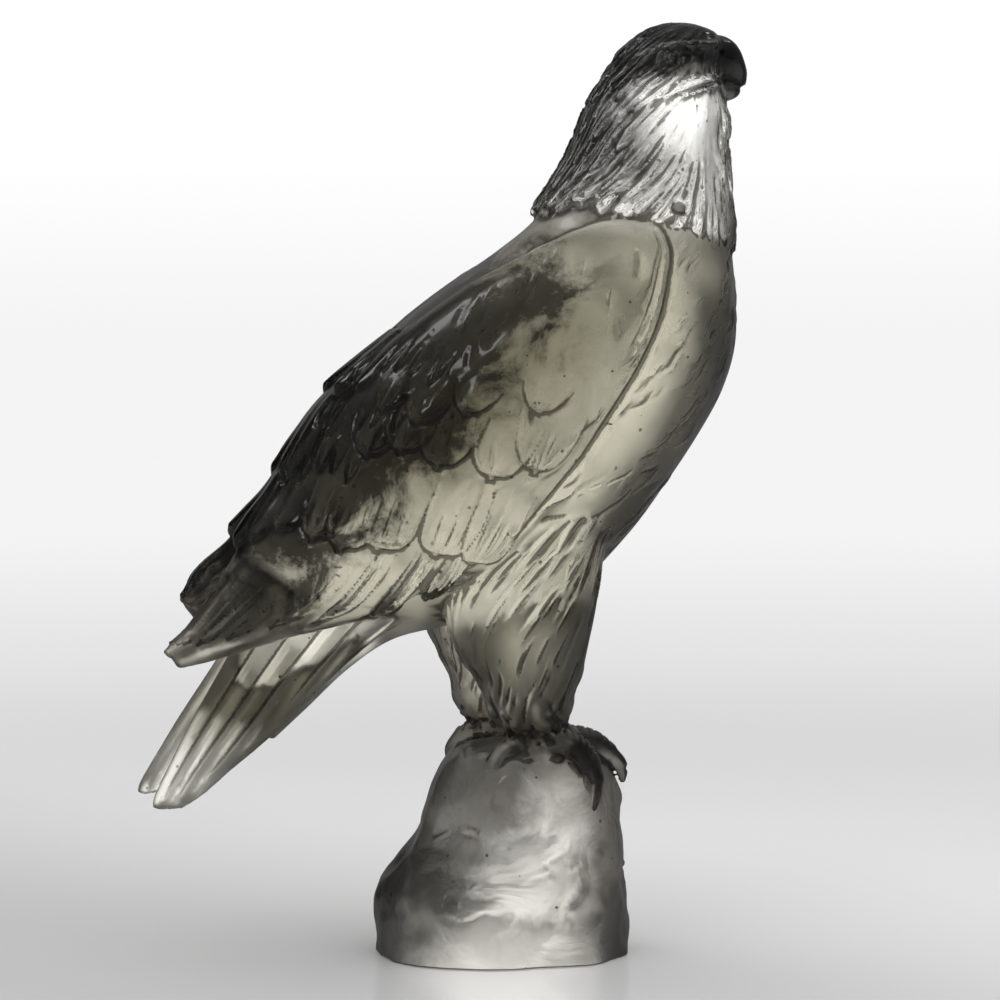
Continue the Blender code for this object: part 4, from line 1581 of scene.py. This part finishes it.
class Bench:
    """A node tree with short ways to add and join nodes."""

    def __init__(self, tree: bpy.types.NodeTree) -> None:
        """Starts on a tree."""
        self.tree = tree

    def feed(self, socket: Socket, value: object) -> None:
        """Gives a socket a value, or joins another node's socket to it.

        Args:
            socket: The socket.
            value: The value, or the other node's socket.
        """
        if isinstance(value, Socket):
            self.tree.links.new(value, socket)
        else:
            socket.default_value = value

    def add(self, kind: str, inputs: dict | None = None, **settings: object) -> bpy.types.Node:
        """Adds a node.

        Args:
            kind: The node's type.
            inputs: What goes into its sockets, by name or number: a value, or another node's socket.
            settings: Its other settings.

        Returns:
            The node.
        """
        node = self.tree.nodes.new(kind)
        for name, value in settings.items():
            setattr(node, name, value)
        for name, value in (inputs or {}).items():
            self.feed(node.inputs[name], value)
        return node

    def math(self, operation: str, *values: object) -> Socket:
        """Adds a math node and gives its result."""
        return self.add("ShaderNodeMath", dict(enumerate(values)), operation=operation).outputs[0]

    def group(self, tree: bpy.types.NodeTree, inputs: dict) -> bpy.types.NodeOutputs:
        """Places a node group with its own values, and gives its outputs."""
        return self.add("ShaderNodeGroup", inputs, node_tree=tree).outputs

    def offer(self, in_out: str, kind: str, *names: str) -> None:
        """Adds sockets of one kind to the tree's own inputs or outputs."""
        for name in names:
            self.tree.interface.new_socket(name=name, in_out=in_out, socket_type="NodeSocket" + kind)

    def product(self, first: object, second: object, *others: object) -> Socket:
        """Multiplies values.

        Args:
            first: A value or a socket.
            second: Another.
            others: Any more of them.

        Returns:
            The product.
        """
        result = self.math("MULTIPLY", first, second)
        for other in others:
            result = self.math("MULTIPLY", result, other)
        return result

    def along(self, place: Socket, towards: object) -> Socket:
        """Measures how far a place lies along a direction."""
        inputs = {0: place, 1: towards}
        return self.add("ShaderNodeVectorMath", inputs, operation="DOT_PRODUCT").outputs["Value"]

    def mixed(self, share: object, first: object, second: object) -> Socket:
        """Mixes two numbers as far as a share says."""
        return self.add("ShaderNodeMix", {0: share, 2: first, 3: second}).outputs[0]

    def tinted(
        self, colour: object, tint: Sequence[float], share: object, blend: str = "MULTIPLY"
    ) -> Socket:
        """Blends a tint into a colour, as far as a share says."""
        inputs = {"Factor": share, 6: colour, 7: (*tint, 1)}
        return self.add("ShaderNodeMix", inputs, data_type="RGBA", blend_type=blend).outputs[2]

    def ramp(self, value: object, start: float, end: float, low: object, high: object) -> Socket:
        """Eases from low to high as a value goes from start to end."""
        inputs = {"Value": value, "From Min": start, "From Max": end, "To Min": low, "To Max": high}
        return self.add("ShaderNodeMapRange", inputs, interpolation_type="SMOOTHSTEP").outputs["Result"]

    def noise(self, place: Socket, scale: float, **inputs: float) -> Socket:
        """Adds a cloud of noise and gives its strength."""
        return self.add("ShaderNodeTexNoise", {"Vector": place, "Scale": scale, **inputs}).outputs[0]


def new_material(name: str) -> tuple[bpy.types.Material, Bench, bpy.types.Node, bpy.types.Node]:
    """Makes a material.

    Args:
        name: Its name.

    Returns:
        The material, its bench, its Principled shader and its output node.
    """
    made = bpy.data.materials.new(name)
    made.use_nodes = True
    nodes = made.node_tree.nodes
    return made, Bench(made.node_tree), nodes["Principled BSDF"], nodes["Material Output"]


@dataclass(frozen=True)
class Veil:
    """Where smoke was drawn into the crystal, or where shade is painted into it: one side of a wandering
    plane.

    Attributes:
        towards: The direction that the smoke thickens in.
        level: How far along that direction from the origin it is half thick.
        soft: Over what distance it comes and goes.
        wander: How far its edge strays.
        colour: What it leaves of the light where it is thickest.
        above: The height that it starts at.
        below: The height that it ends at.
        ahead: How far forward it starts.
    """

    towards: tuple[float, float, float]
    level: float
    soft: float
    wander: float
    colour: tuple[float, float, float]
    above: float = -1.0
    below: float = 1.0
    ahead: float = -1.0


@dataclass(frozen=True)
class SmokyCrystal:
    """Smoky grey-olive cast crystal, semi-gloss and gently wavy, with darker veils of smoke, painted shade
    and painted highlights.

    Attributes:
        rock_top: The height where the rock ends.
        rock_edge: From where to where the facets give way, measured from the rock's top.
        legs: The heights between which the rock's roughness gives way to the bird's.
        wave_scale: How close together the gentle waves of the surface are.
        wave: How strong the waves and creases are.
        wave_height: How high they are taken to be.
        cloud_size: How broad the clouds are that the edges of the smoke follow.
        painted_shade: The painted shade in a groove or a pit: what it leaves of the light.
        valley_reach: How deep a groove is darkest, as a share of the relief.
        valley_edge: Where the painted shade in the rock's grooves starts to deepen, measured from its top.
        rock_groove_shade: How dark the painted shade in the rock's grooves is, as a share of the bird's.
        crest: The painted highlight tint of thin raised edges.
        crest_from: How high an edge is where it starts to brighten, as a share.
        crest_highlight_share: How far edges take that painted highlight, under the smoke.
        strand_highlight_share: How far the neck's strands take that painted highlight, over the smoke.
        crown_highlight_share: How much of that painted highlight is left on the crown.
        neck_from: The heights between which the strands start to brighten.
        neck_top: The heights between which they fade towards the crown.
        neck_to: How far forward they start and end fading out.
    """

    clear: tuple[float, float, float] = (0.99, 0.99, 0.98)
    depth_colour: tuple[float, float, float] = (0.60, 0.58, 0.52)
    depth_density: float = 8.0
    roughness: float = 0.30
    ridge_roughness: float = 0.15
    rock_roughness: float = 0.42
    rock_top: float = 0.060
    rock_edge: tuple[float, float] = (-0.008, 0.004)
    legs: tuple[float, float] = (0.088, 0.125)
    facet_size: float = 0.018
    facet_depth: float = 14.0
    coat: float = 0.7
    coat_roughness: float = 0.07
    index: float = 1.5
    wave_scale: float = 90.0
    wave: float = 0.25
    wave_height: float = 0.0006
    cloud_size: float = 0.022
    painted_shade: tuple[float, float, float] = (0.08, 0.077, 0.068)
    valley_reach: float = 0.6
    valley_edge: float = -0.018
    rock_groove_shade: float = 0.30
    crest: tuple[float, float, float] = (0.95, 0.95, 0.93)
    crest_from: float = 0.3
    crest_highlight_share: float = 0.5
    strand_highlight_share: float = 0.26
    crown_highlight_share: float = 0.2
    neck_from: tuple[float, float] = (0.205, 0.215)
    neck_top: tuple[float, float] = (0.228, 0.258)
    neck_to: tuple[float, float] = (0.056, 0.064)
    pit_spacing: float = 0.005
    pit_radius: float = 0.0006
    veils: tuple[Veil, ...] = (
        # An olive haze through the whole body, up to the hanging rim of the hackles, thinner low
        # down, where the light passes through two legs or two lobes of the tail.
        Veil((-0.070, 0, -0.998), -0.2186, 0.006, 0.003, (0.42, 0.405, 0.335), above=0.094),
        Veil((0, 0, -1), -0.2000, 0.006, 0.003, (0.66, 0.645, 0.58), above=0.062, below=0.104),
        # Along the back and upper wings, thin at first and then dense, and on to the wing tips.
        Veil((-0.745, 0, 0.661), 0.0990, 0.040, 0.022, (0.20, 0.19, 0.15), above=0.108, below=0.226),
        Veil((-0.745, 0, 0.661), 0.1190, 0.012, 0.032, (0.014, 0.013, 0.011), above=0.101, below=0.218),
        Veil((-0.745, 0, 0.661), 0.1235, 0.020, 0.012, (0.11, 0.104, 0.088), above=0.085, below=0.119),
        # The wing tips and the tail.
        Veil((-1, 0, 0), 0.0820, 0.024, 0.010, (0.30, 0.29, 0.27), above=0.080),
        Veil((-1, 0, 0), 0.0600, 0.020, 0.004, (0.55, 0.54, 0.50), below=0.104),
        # Painted shade of the dark edges that refraction gives: the front edge of the chest, the thighs'
        # rear, and the front of the belly and thighs.
        Veil((0.98, 0, -0.20), 0.0215, 0.010, 0.003, (0.08, 0.075, 0.07), above=0.140, below=0.238),
        Veil((-1, 0, 0), 0.0060, 0.010, 0.003, (0.26, 0.25, 0.23), above=0.072, below=0.112, ahead=-0.030),
        Veil((0.867, 0, -0.498), -0.0350, 0.020, 0.004, (0.06, 0.057, 0.05), above=0.072, below=0.238),
        # Down the nape, the lower rear of the hackles, and a little over the whole neck and head.
        Veil((-0.90, 0, 0.43), 0.0750, 0.014, 0.012, (0.05, 0.05, 0.05), above=0.212),
        Veil((-0.80, 0, -0.60), -0.1800, 0.026, 0.024, (0.035, 0.034, 0.03), above=0.212),
        Veil((0, 0, 1), 0.2100, 0.006, 0.000, (0.78, 0.78, 0.77)),
        # The crown and brows, and the beak.
        Veil((-0.27, 0, 0.96), 0.2378, 0.006, 0.006, (0.010, 0.010, 0.010), above=0.23),
        Veil((0.98, 0, 0.20), 0.1170, 0.004, 0.002, (0.02, 0.02, 0.02), above=0.252),
        # Round the feet, down the rock's rear, across its top and its front, and low down; the band down
        # the rock's rear is painted shade of the dark that refraction gives.
        Veil((0, 0, -1), -0.0740, 0.008, 0.006, (0.38, 0.365, 0.33), above=0.056, ahead=-0.045),
        Veil((-0.85, 0, 0.53), 0.0220, 0.016, 0.010, (0.07, 0.068, 0.063), below=0.075, ahead=-0.055),
        Veil((0, 0, 1), 0.0440, 0.026, 0.014, (0.28, 0.27, 0.25), below=0.100, ahead=-0.045),
        Veil((1.0, 0, 0.10), 0.0225, 0.018, 0.010, (0.20, 0.185, 0.17), below=0.075),
        Veil((0, 0, -1), -0.0400, 0.050, 0.010, (0.58, 0.57, 0.55), ahead=-0.055),
    )

    @staticmethod
    def veil_group() -> bpy.types.NodeTree:
        """Builds the node group that says how thick a veil of smoke or of painted shade is at a place.

        Returns:
            The group's tree.
        """
        tree = bpy.data.node_groups.new("smoke and painted shade veil", "ShaderNodeTree")
        bench = Bench(tree)
        bench.offer("INPUT", "Vector", "Place", "Towards")
        bench.offer("INPUT", "Float", "Cloud", "Level", "Soft", "Wander", "Above", "Below", "Ahead")
        bench.offer("OUTPUT", "Float", "Thickness")
        given = bench.add("NodeGroupInput").outputs
        stray = bench.product(given["Cloud"], given["Wander"])
        strayed = bench.math("ADD", bench.along(given["Place"], given["Towards"]), stray)
        depth = bench.math("SUBTRACT", strayed, given["Level"])
        half = bench.product(given["Soft"], 0.5)
        thick = bench.ramp(depth, bench.product(half, -1.0), half, 0.0, 1.0)
        forward, _side, height = bench.add("ShaderNodeSeparateXYZ", {0: given["Place"]}).outputs
        height = bench.math("ADD", height, stray)
        edge = bench.math("ADD", given["Soft"], 0.004)
        reached = bench.ramp(forward, given["Ahead"], bench.math("ADD", given["Ahead"], 0.006), 0.0, 1.0)
        risen = bench.ramp(height, given["Above"], bench.math("ADD", given["Above"], edge), 0.0, 1.0)
        ended = bench.ramp(height, bench.math("SUBTRACT", given["Below"], edge), given["Below"], 1.0, 0.0)
        bench.add("NodeGroupOutput", {"Thickness": bench.product(thick, risen, ended, reached)})
        return tree

    def smoked_and_shaded(self, bench: Bench, place: Socket, tint: Socket) -> Socket:
        """Lays every veil of smoke and of painted shade over a tint.

        Args:
            bench: The material's bench.
            place: Where the surface is.
            tint: The tint so far.

        Returns:
            The smoked tint.
        """
        noisy = {"Detail": 7.0, "Roughness": 0.70, "Distortion": 0.5}
        cloud = bench.math("SUBTRACT", bench.noise(place, 1 / self.cloud_size, **noisy), 0.5)
        group = self.veil_group()
        for veil in self.veils:
            inputs = {
                "Place": place,
                "Towards": veil.towards,
                "Cloud": cloud,
                "Level": veil.level,
                "Soft": veil.soft,
                "Wander": 2 * veil.wander,
                "Above": veil.above,
                "Below": veil.below,
                "Ahead": veil.ahead,
            }
            tint = bench.tinted(tint, veil.colour, bench.group(group, inputs)["Thickness"])
        return tint

    def pitted(self, bench: Bench, place: Socket, tint: Socket) -> Socket:
        """Darkens a tint in tiny round spots scattered over the surface, as painted shade of pits that the
        skin does not have.

        Args:
            bench: The material's bench.
            place: Where the surface is.
            tint: The tint so far.

        Returns:
            The pitted tint.
        """
        pits = bench.add("ShaderNodeTexVoronoi", {"Vector": place, "Scale": 1 / self.pit_spacing})
        chance = bench.add("ShaderNodeSeparateColor", {0: pits.outputs["Color"]}).outputs[0]
        reach = bench.ramp(chance, 0.3, 1.0, 0.0, self.pit_radius / self.pit_spacing)
        # Painted shade: each spot takes the dark groove tint.
        return bench.tinted(tint, self.painted_shade, bench.math("LESS_THAN", pits.outputs["Distance"], reach))

    def make(self) -> bpy.types.Material:
        """Makes the material.

        Returns:
            The material.
        """
        made, bench, shader, output = new_material("smoky crystal")
        place = bench.add("ShaderNodeTexCoord").outputs["Object"]
        forward, _side, height = bench.add("ShaderNodeSeparateXYZ", {0: place}).outputs
        relief = bench.add("ShaderNodeAttribute", attribute_name=RELIEF).outputs["Fac"]
        crest = bench.add("ShaderNodeAttribute", attribute_name=CREST).outputs["Fac"]
        # Painted shade: sunken grooves and hollows darken towards a dark tint, less so low on the rock.
        kept = bench.ramp(height, self.rock_top + self.valley_edge, self.rock_top, self.rock_groove_shade, 1.0)
        sunk = bench.product(bench.ramp(relief, -0.05, -self.valley_reach, 0.0, 1.0), kept)
        tint = bench.tinted((*self.clear, 1), self.painted_shade, sunk)
        # Painted highlight: thin raised edges are lightened towards a pale tint, under the smoke.
        bright = bench.ramp(crest, self.crest_from, 1.0, 0.0, self.crest_highlight_share)
        tint = self.smoked_and_shaded(bench, place, bench.tinted(tint, self.crest, bright, "MIX"))
        # Painted highlights along the thin edges of the neck's strands, over the smoke.
        on_neck = bench.product(
            bench.ramp(height, *self.neck_from, 0.0, self.strand_highlight_share),
            bench.ramp(height, *self.neck_top, 1.0, self.crown_highlight_share),
            bench.ramp(forward, *self.neck_to, 1.0, 0.0),
        )
        strand_highlight = bench.product(bench.ramp(crest, self.crest_from, 1.0, 0.0, 1.0), on_neck)
        tint = self.pitted(bench, place, bench.tinted(tint, self.crest, strand_highlight, "MIX"))
        polish = bench.ramp(relief, 0.1, 0.8, self.roughness, self.ridge_roughness)
        polish = bench.mixed(bench.ramp(height, *self.legs, 1.0, 0.0), polish, self.rock_roughness)
        inputs = {
            "Base Color": tint,
            "Roughness": polish,
            "Normal": self.rippled(bench, place, height),
            "IOR": self.index,
            "Transmission Weight": 1.0,
            "Coat Weight": self.coat,
            "Coat Roughness": self.coat_roughness,
        }
        for name, value in inputs.items():
            bench.feed(shader.inputs[name], value)
        inputs = {"Color": (*self.depth_colour, 1), "Density": self.depth_density}
        bench.feed(output.inputs["Volume"], bench.add("ShaderNodeVolumeAbsorption", inputs).outputs[0])
        return made

    def rippled(self, bench: Bench, place: Socket, height: Socket) -> Socket:
        """Makes the surface gently wavy all over, with creases between facets on the rock.

        Args:
            bench: The material's bench.
            place: Where the surface is.
            height: Its height.

        Returns:
            The surface's normal.
        """
        start, end = self.rock_edge
        on_rock = bench.ramp(height, self.rock_top + start, self.rock_top + end, 1.0, 0.0)
        wave = bench.noise(place, self.wave_scale, Detail=3.0, Roughness=0.5)
        noisy = {"Detail": 3.0, "Roughness": 0.55, "Distortion": 0.6}
        crease = bench.math("SUBTRACT", bench.noise(place, 1 / self.facet_size, **noisy), 0.5)
        crease = bench.product(bench.math("ABSOLUTE", crease), on_rock, -self.facet_depth)
        inputs = {
            "Height": bench.math("ADD", wave, crease),
            "Strength": self.wave,
            "Distance": self.wave_height,
        }
        return bench.add("ShaderNodeBump", inputs).outputs[0]


@dataclass
class Bubbles:
    """Round bubbles and short rods of air sealed close under the skin."""

    count: int = 220
    seed: int = 11
    radius: tuple[float, float] = (0.00022, 0.00050)
    # The share of them that are rods, and how many times longer than broad a rod is.
    rod_share: float = 0.25
    rod_length: float = 4.0
    # How deep they lie, and how much crystal is left round each of them.
    depth: tuple[float, float] = (0.0014, 0.0045)
    cover: float = 0.0006
    # The least height of the skin over a bubble, above the flat underside.
    lowest: float = 0.01
    # The colour and roughness of their walls.
    air: tuple[float, float, float] = (0.62, 0.60, 0.56)
    smoothness: float = 0.05

    def seeds(self, casting: bpy.types.Object) -> bpy.types.Mesh:
        """Finds where the bubbles lie.

        Args:
            casting: The casting that they are sealed in.

        Returns:
            A mesh with a point for each bubble.
        """
        draw = np.random.default_rng(self.seed)
        places = []
        for number in draw.permutation(len(casting.data.vertices)).tolist():
            if len(places) == self.count:
                break
            vertex = casting.data.vertices[number]
            place = vertex.co - vertex.normal * draw.uniform(*self.depth)
            _found, near, normal, _index = casting.closest_point_on_mesh(place)
            room = (near - place).dot(normal)
            if room > self.radius[1] + self.cover and vertex.co.z > self.lowest:
                places.append(place)
        mesh = bpy.data.meshes.new("bubble places")
        mesh.from_pydata(places, [], [])
        return mesh

    def tree(self) -> bpy.types.NodeTree:
        """Builds the Geometry Nodes tree that puts a bubble or a rod at each point.

        Returns:
            The tree.
        """
        tree = bpy.data.node_groups.new("sealed bubbles", "GeometryNodeTree")
        bench = Bench(tree)
        bench.offer("INPUT", "Geometry", "Points")
        bench.offer("INPUT", "Float", "Least radius", "Most radius", "Rod share", "Rod length")
        bench.offer("INPUT", "Int", "Seed")
        bench.offer("INPUT", "Material", "Finish")
        bench.offer("OUTPUT", "Geometry", "Bubbles")
        given = bench.add("NodeGroupInput").outputs
        ball = bench.add("GeometryNodeMeshIcoSphere", {"Radius": 1.0, "Subdivisions": 2}).outputs["Mesh"]
        stretch = bench.add("ShaderNodeCombineXYZ", {"X": 1.0, "Y": 1.0, "Z": given["Rod length"]})
        rod = bench.add("GeometryNodeTransform", {"Geometry": ball, "Scale": stretch.outputs[0]}).outputs[0]
        chance = {"Probability": given["Rod share"], "Seed": given["Seed"]}
        is_rod = bench.add("FunctionNodeRandomValue", chance, data_type="BOOLEAN").outputs[3]
        is_ball = bench.add("FunctionNodeBooleanMath", {0: is_rod}, operation="NOT").outputs[0]
        size = {2: given["Least radius"], 3: given["Most radius"], "Seed": given["Seed"]}
        size = bench.add("FunctionNodeRandomValue", size).outputs[1]
        spin = {0: (0.0, 0.0, 0.0), 1: (math.tau, math.tau, math.tau), "Seed": given["Seed"]}
        spin = bench.add("FunctionNodeRandomValue", spin, data_type="FLOAT_VECTOR").outputs[0]
        spin = bench.add("FunctionNodeEulerToRotation", {0: spin}).outputs[0]
        shared = {"Points": given["Points"], "Rotation": spin, "Scale": size}
        join = bench.add("GeometryNodeJoinGeometry")
        for shape, chosen in ((ball, is_ball), (rod, is_rod)):
            inputs = {**shared, "Selection": chosen, "Instance": shape}
            bench.feed(join.inputs[0], bench.add("GeometryNodeInstanceOnPoints", inputs).outputs[0])
        real = bench.add("GeometryNodeRealizeInstances", {0: join.outputs[0]}).outputs[0]
        smooth = bench.add("GeometryNodeSetShadeSmooth", {"Geometry": real}).outputs[0]
        done = bench.add("GeometryNodeSetMaterial", {"Geometry": smooth, "Material": given["Finish"]})
        bench.add("NodeGroupOutput", {"Bubbles": done.outputs[0]})
        return tree

    def build(self, casting: bpy.types.Object) -> bpy.types.Object:
        """Makes the bubbles as one plain mesh.

        Args:
            casting: The casting that they are sealed in.

        Returns:
            The bubbles' object, at the origin.
        """
        made, bench, shader, _output = new_material("sealed air")
        finish = {"Base Color": (*self.air, 1), "Roughness": self.smoothness, "Transmission Weight": 1.0}
        for name, value in finish.items():
            bench.feed(shader.inputs[name], value)
        holder = placed("bubble seeds", self.seeds(casting))
        nodes = holder.modifiers.new("bubbles", "NODES")
        nodes.node_group = self.tree()
        values = {
            "Least radius": self.radius[0],
            "Most radius": self.radius[1],
            "Rod share": self.rod_share,
            "Rod length": self.rod_length,
            "Seed": self.seed,
            "Finish": made,
        }
        for socket in nodes.node_group.interface.items_tree:
            if socket.name in values:
                nodes[socket.identifier] = values[socket.name]
        return placed("sealed_bubbles", as_mesh(holder))


@dataclass(frozen=True)
class PaleFloor:
    """A pale, faintly glossy floor that rises out of focus into a bright backdrop.

    Attributes:
        seen: How pale it is, from its dimmer left to its brighter right: painted light falling across the
            floor.
        brightens: Where it goes from one to the other, along brightens_towards.
        brightens_towards: The direction that it gets paler in.
        unseen: How pale it is for light that has come through the crystal.
        mirrored: How pale it is for what shines on the crystal's surface.
        gloss: Its roughness.
        shine: How much it mirrors.
        fade: Where it starts and ends giving way to the backdrop.
        glow_over: Where the backdrop brightens.
        glow: How bright it is from there to there.
        passed: Where light that has come through the crystal starts and ends passing it.
    """

    seen: tuple[float, float] = (0.66, 1.0)
    brightens: tuple[float, float] = (-0.16, 0.26)
    brightens_towards: tuple[float, float, float] = (0.8, 0.6, 0.0)
    unseen: float = 0.4
    mirrored: float = 0.10
    gloss: float = 0.09
    shine: float = 0.5
    fade: tuple[float, float] = (0.15, 1.00)
    glow_over: tuple[float, float] = (0.3, 2.2)
    glow: tuple[float, float] = (0.72, 0.90)
    passed: tuple[float, float] = (0.045, 0.090)

    def make(self) -> bpy.types.Material:
        """Makes the material.

        Returns:
            The material.
        """
        made, bench, shader, output = new_material("pale floor")
        ray = bench.add("ShaderNodeLightPath").outputs
        place = bench.add("ShaderNodeTexCoord").outputs["Object"]
        # Painted light: the floor is painted paler towards its right.
        seen = bench.ramp(bench.along(place, self.brightens_towards), *self.brightens, *self.seen)
        unseen = bench.ramp(ray["Is Glossy Ray"], 0.0, 1.0, self.unseen, self.mirrored)
        inputs = {
            "Base Color": bench.ramp(ray["Is Camera Ray"], 0.0, 1.0, unseen, seen),
            "Specular IOR Level": bench.product(ray["Is Camera Ray"], self.shine),
            "Roughness": self.gloss,
        }
        for name, value in inputs.items():
            bench.feed(shader.inputs[name], value)
        away = bench.add("ShaderNodeVectorMath", {0: place}, operation="LENGTH").outputs["Value"]
        glow = bench.add("ShaderNodeEmission", {"Strength": bench.ramp(away, *self.glow_over, *self.glow)})
        clear = bench.add("ShaderNodeBsdfTransparent")
        surface = shader.outputs[0]
        changes = ((self.fade, "Is Camera Ray", glow), (self.passed, "Is Transmission Ray", clear))
        for span, rays, other in changes:
            share = bench.product(bench.ramp(away, *span, 0.0, 1.0), ray[rays])
            inputs = {0: share, 1: surface, 2: other.outputs[0]}
            surface = bench.add("ShaderNodeMixShader", inputs).outputs[0]
        bench.feed(output.inputs["Surface"], surface)
        return made


@dataclass
class Studio:
    """The floor, the light all round and the camera."""

    floor: PaleFloor = field(default_factory=PaleFloor)
    floor_radius: float = 12.0
    air_gap: float = 0.0004
    # The camera that fits the photograph.
    azimuth: float = -12.0
    elevation: float = 3.0
    distance: float = 1.2
    aim: tuple[float, float, float] = (-0.0006, 0.0, 0.1365)
    lens: float = 143.4
    sensor: float = 36.0
    # Bright walls: the middle of each in degrees from +X, half its width, and its strength for
    # light that comes through the crystal and for light that falls on it.
    walls: Rows = ((72, 27, 2.35, 0.16), (-108, 28, 2.2, 0.05), (180, 26, 1.2, 0.14), (0, 24, 0.8, 0.10))
    wall_softness: float = 14.0
    # How the walls weaken below and above eye level for light that comes through the crystal:
    # the height from and to, and the share at each.
    from_below: tuple[float, ...] = (-0.6, 0.0, 0.6, 1.0)
    from_above: tuple[float, ...] = (0.25, 0.75, 1.0, 0.45)
    # What the pale floor adds in every heading: the height from and to, and the strength at each.
    table_glow: tuple[float, ...] = (-0.30, -0.02, 1.2, 0.0)
    # The strength between the walls, what is added overhead from one height to the next, and what
    # the floor gets.
    dim: float = 0.012
    overhead: float = 0.07
    overhead_from: tuple[float, float] = (0.80, 0.97)
    floor_light: float = 1.8
    # Lamps that only glint on the surface: heading, height and half width in degrees, strength.
    lamps: Rows = ((140, 52, 6, 2.4), (-130, 38, 3, 4.0), (30, 45, 3, 3.5))
    # How far from its middle a lamp ends and is full, as shares of its half width.
    lamp_edge: tuple[float, float] = (1.6, 0.8)
    # What the camera itself sees of the backdrop, from low to high.
    seen_from: tuple[float, float] = (-0.02, 0.05)
    seen_shade: tuple[float, float] = (0.90, 1.02)

    def build(self) -> None:
        """Makes everything in the studio."""
        self.make_floor()
        self.make_light()
        self.make_camera()

    def make_floor(self) -> None:
        """Makes the floor, a hair below the casting so that the crystal keeps its own underside."""
        mesh = bpy.data.meshes.new("floor")
        work = bmesh.new()
        # One wide triangle, so that no seam crosses the picture.
        bmesh.ops.create_circle(work, cap_ends=True, segments=3, radius=self.floor_radius)
        work.to_mesh(mesh)
        work.free()
        mesh.materials.append(self.floor.make())
        floor = placed("floor", mesh)
        floor.location.z = -self.air_gap

    def make_light(self) -> None:
        """Makes the world: bright walls with dim gaps between them for everything but the camera."""
        world = bpy.data.worlds.new("studio")
        bpy.context.scene.world = world
        world.use_nodes = True
        world.node_tree.nodes.clear()
        bench = Bench(world.node_tree)
        # A world is shaded for a direction towards it, which Texture Coordinate gives as Generated.
        away = bench.add("ShaderNodeTexCoord").outputs["Generated"]
        east, north, up = bench.add("ShaderNodeSeparateXYZ", {0: away}).outputs
        heading = bench.math("ARCTAN2", north, east)
        through = self.dim
        fallen = bench.math("ADD", self.dim, bench.ramp(up, *self.overhead_from, 0.0, self.overhead))
        for middle, half, strength_through, strength_fallen in self.walls:
            near = bench.math("COSINE", bench.math("SUBTRACT", heading, math.radians(middle)))
            outer, inner = math.radians(half + self.wall_softness), math.radians(half)
            wall = bench.ramp(near, math.cos(outer), math.cos(inner), 0.0, 1.0)
            through = bench.math("ADD", through, bench.product(wall, strength_through))
            fallen = bench.math("ADD", fallen, bench.product(wall, strength_fallen))
        for span in (self.from_below, self.from_above):
            through = bench.product(through, bench.ramp(up, *span))
        through = bench.math("MAXIMUM", through, bench.ramp(up, *self.table_glow))
        for turn, rise, half, strength_fallen in self.lamps:
            turn, rise = math.radians(turn), math.radians(rise)
            lamp = (math.cos(turn) * math.cos(rise), math.sin(turn) * math.cos(rise), math.sin(rise))
            outer, inner = (math.cos(math.radians(share * half)) for share in self.lamp_edge)
            lit = bench.ramp(bench.along(away, lamp), outer, inner, 0.0, strength_fallen)
            fallen = bench.math("ADD", fallen, lit)
        ray = bench.add("ShaderNodeLightPath").outputs
        onto = bench.mixed(ray["Is Diffuse Ray"], fallen, self.floor_light)
        strength = bench.mixed(ray["Is Transmission Ray"], onto, through)
        shade = bench.ramp(up, *self.seen_from, *self.seen_shade)
        lit, seen = (
            bench.add("ShaderNodeBackground", {"Color": (1, 1, 1, 1), "Strength": value}).outputs[0]
            for value in (strength, shade)
        )
        mix = bench.add("ShaderNodeMixShader", {0: ray["Is Camera Ray"], 1: lit, 2: seen})
        bench.add("ShaderNodeOutputWorld", {"Surface": mix.outputs[0]})

    def make_camera(self) -> None:
        """Makes the camera at the photograph's viewing angle."""
        turn, rise = math.radians(self.azimuth), math.radians(self.elevation)
        back = Vector((math.sin(turn) * math.cos(rise), -math.cos(turn) * math.cos(rise), math.sin(rise)))
        camera = placed("camera", bpy.data.cameras.new("camera"))
        camera.data.sensor_width = self.sensor
        camera.data.lens = self.lens
        camera.location = Vector(self.aim) + back * self.distance
        camera.rotation_euler = back.to_track_quat("Z", "Y").to_euler()
        bpy.context.scene.camera = camera
        bpy.context.scene.view_settings.view_transform = "Standard"


def main() -> None:
    """Builds the pieces in order, puts them on the body and logs each one's triangles."""
    logging.basicConfig(level=logging.INFO, format="%(message)s")
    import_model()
    Studio().build()
    _low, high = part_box(NODE)
    casting = Casting().build(high[2])
    casting.data.materials.append(SmokyCrystal().make())
    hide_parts(NODE)
    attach(casting, BODY_NAME)
    bubbles = Bubbles().build(casting)
    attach(bubbles, BODY_NAME)
    for piece in (casting, bubbles):
        triangles = sum(len(face.vertices) - 2 for face in piece.data.polygons)
        LOG.info("%s: %d triangles", piece.name, triangles)


if __name__ == "__main__":
    main()
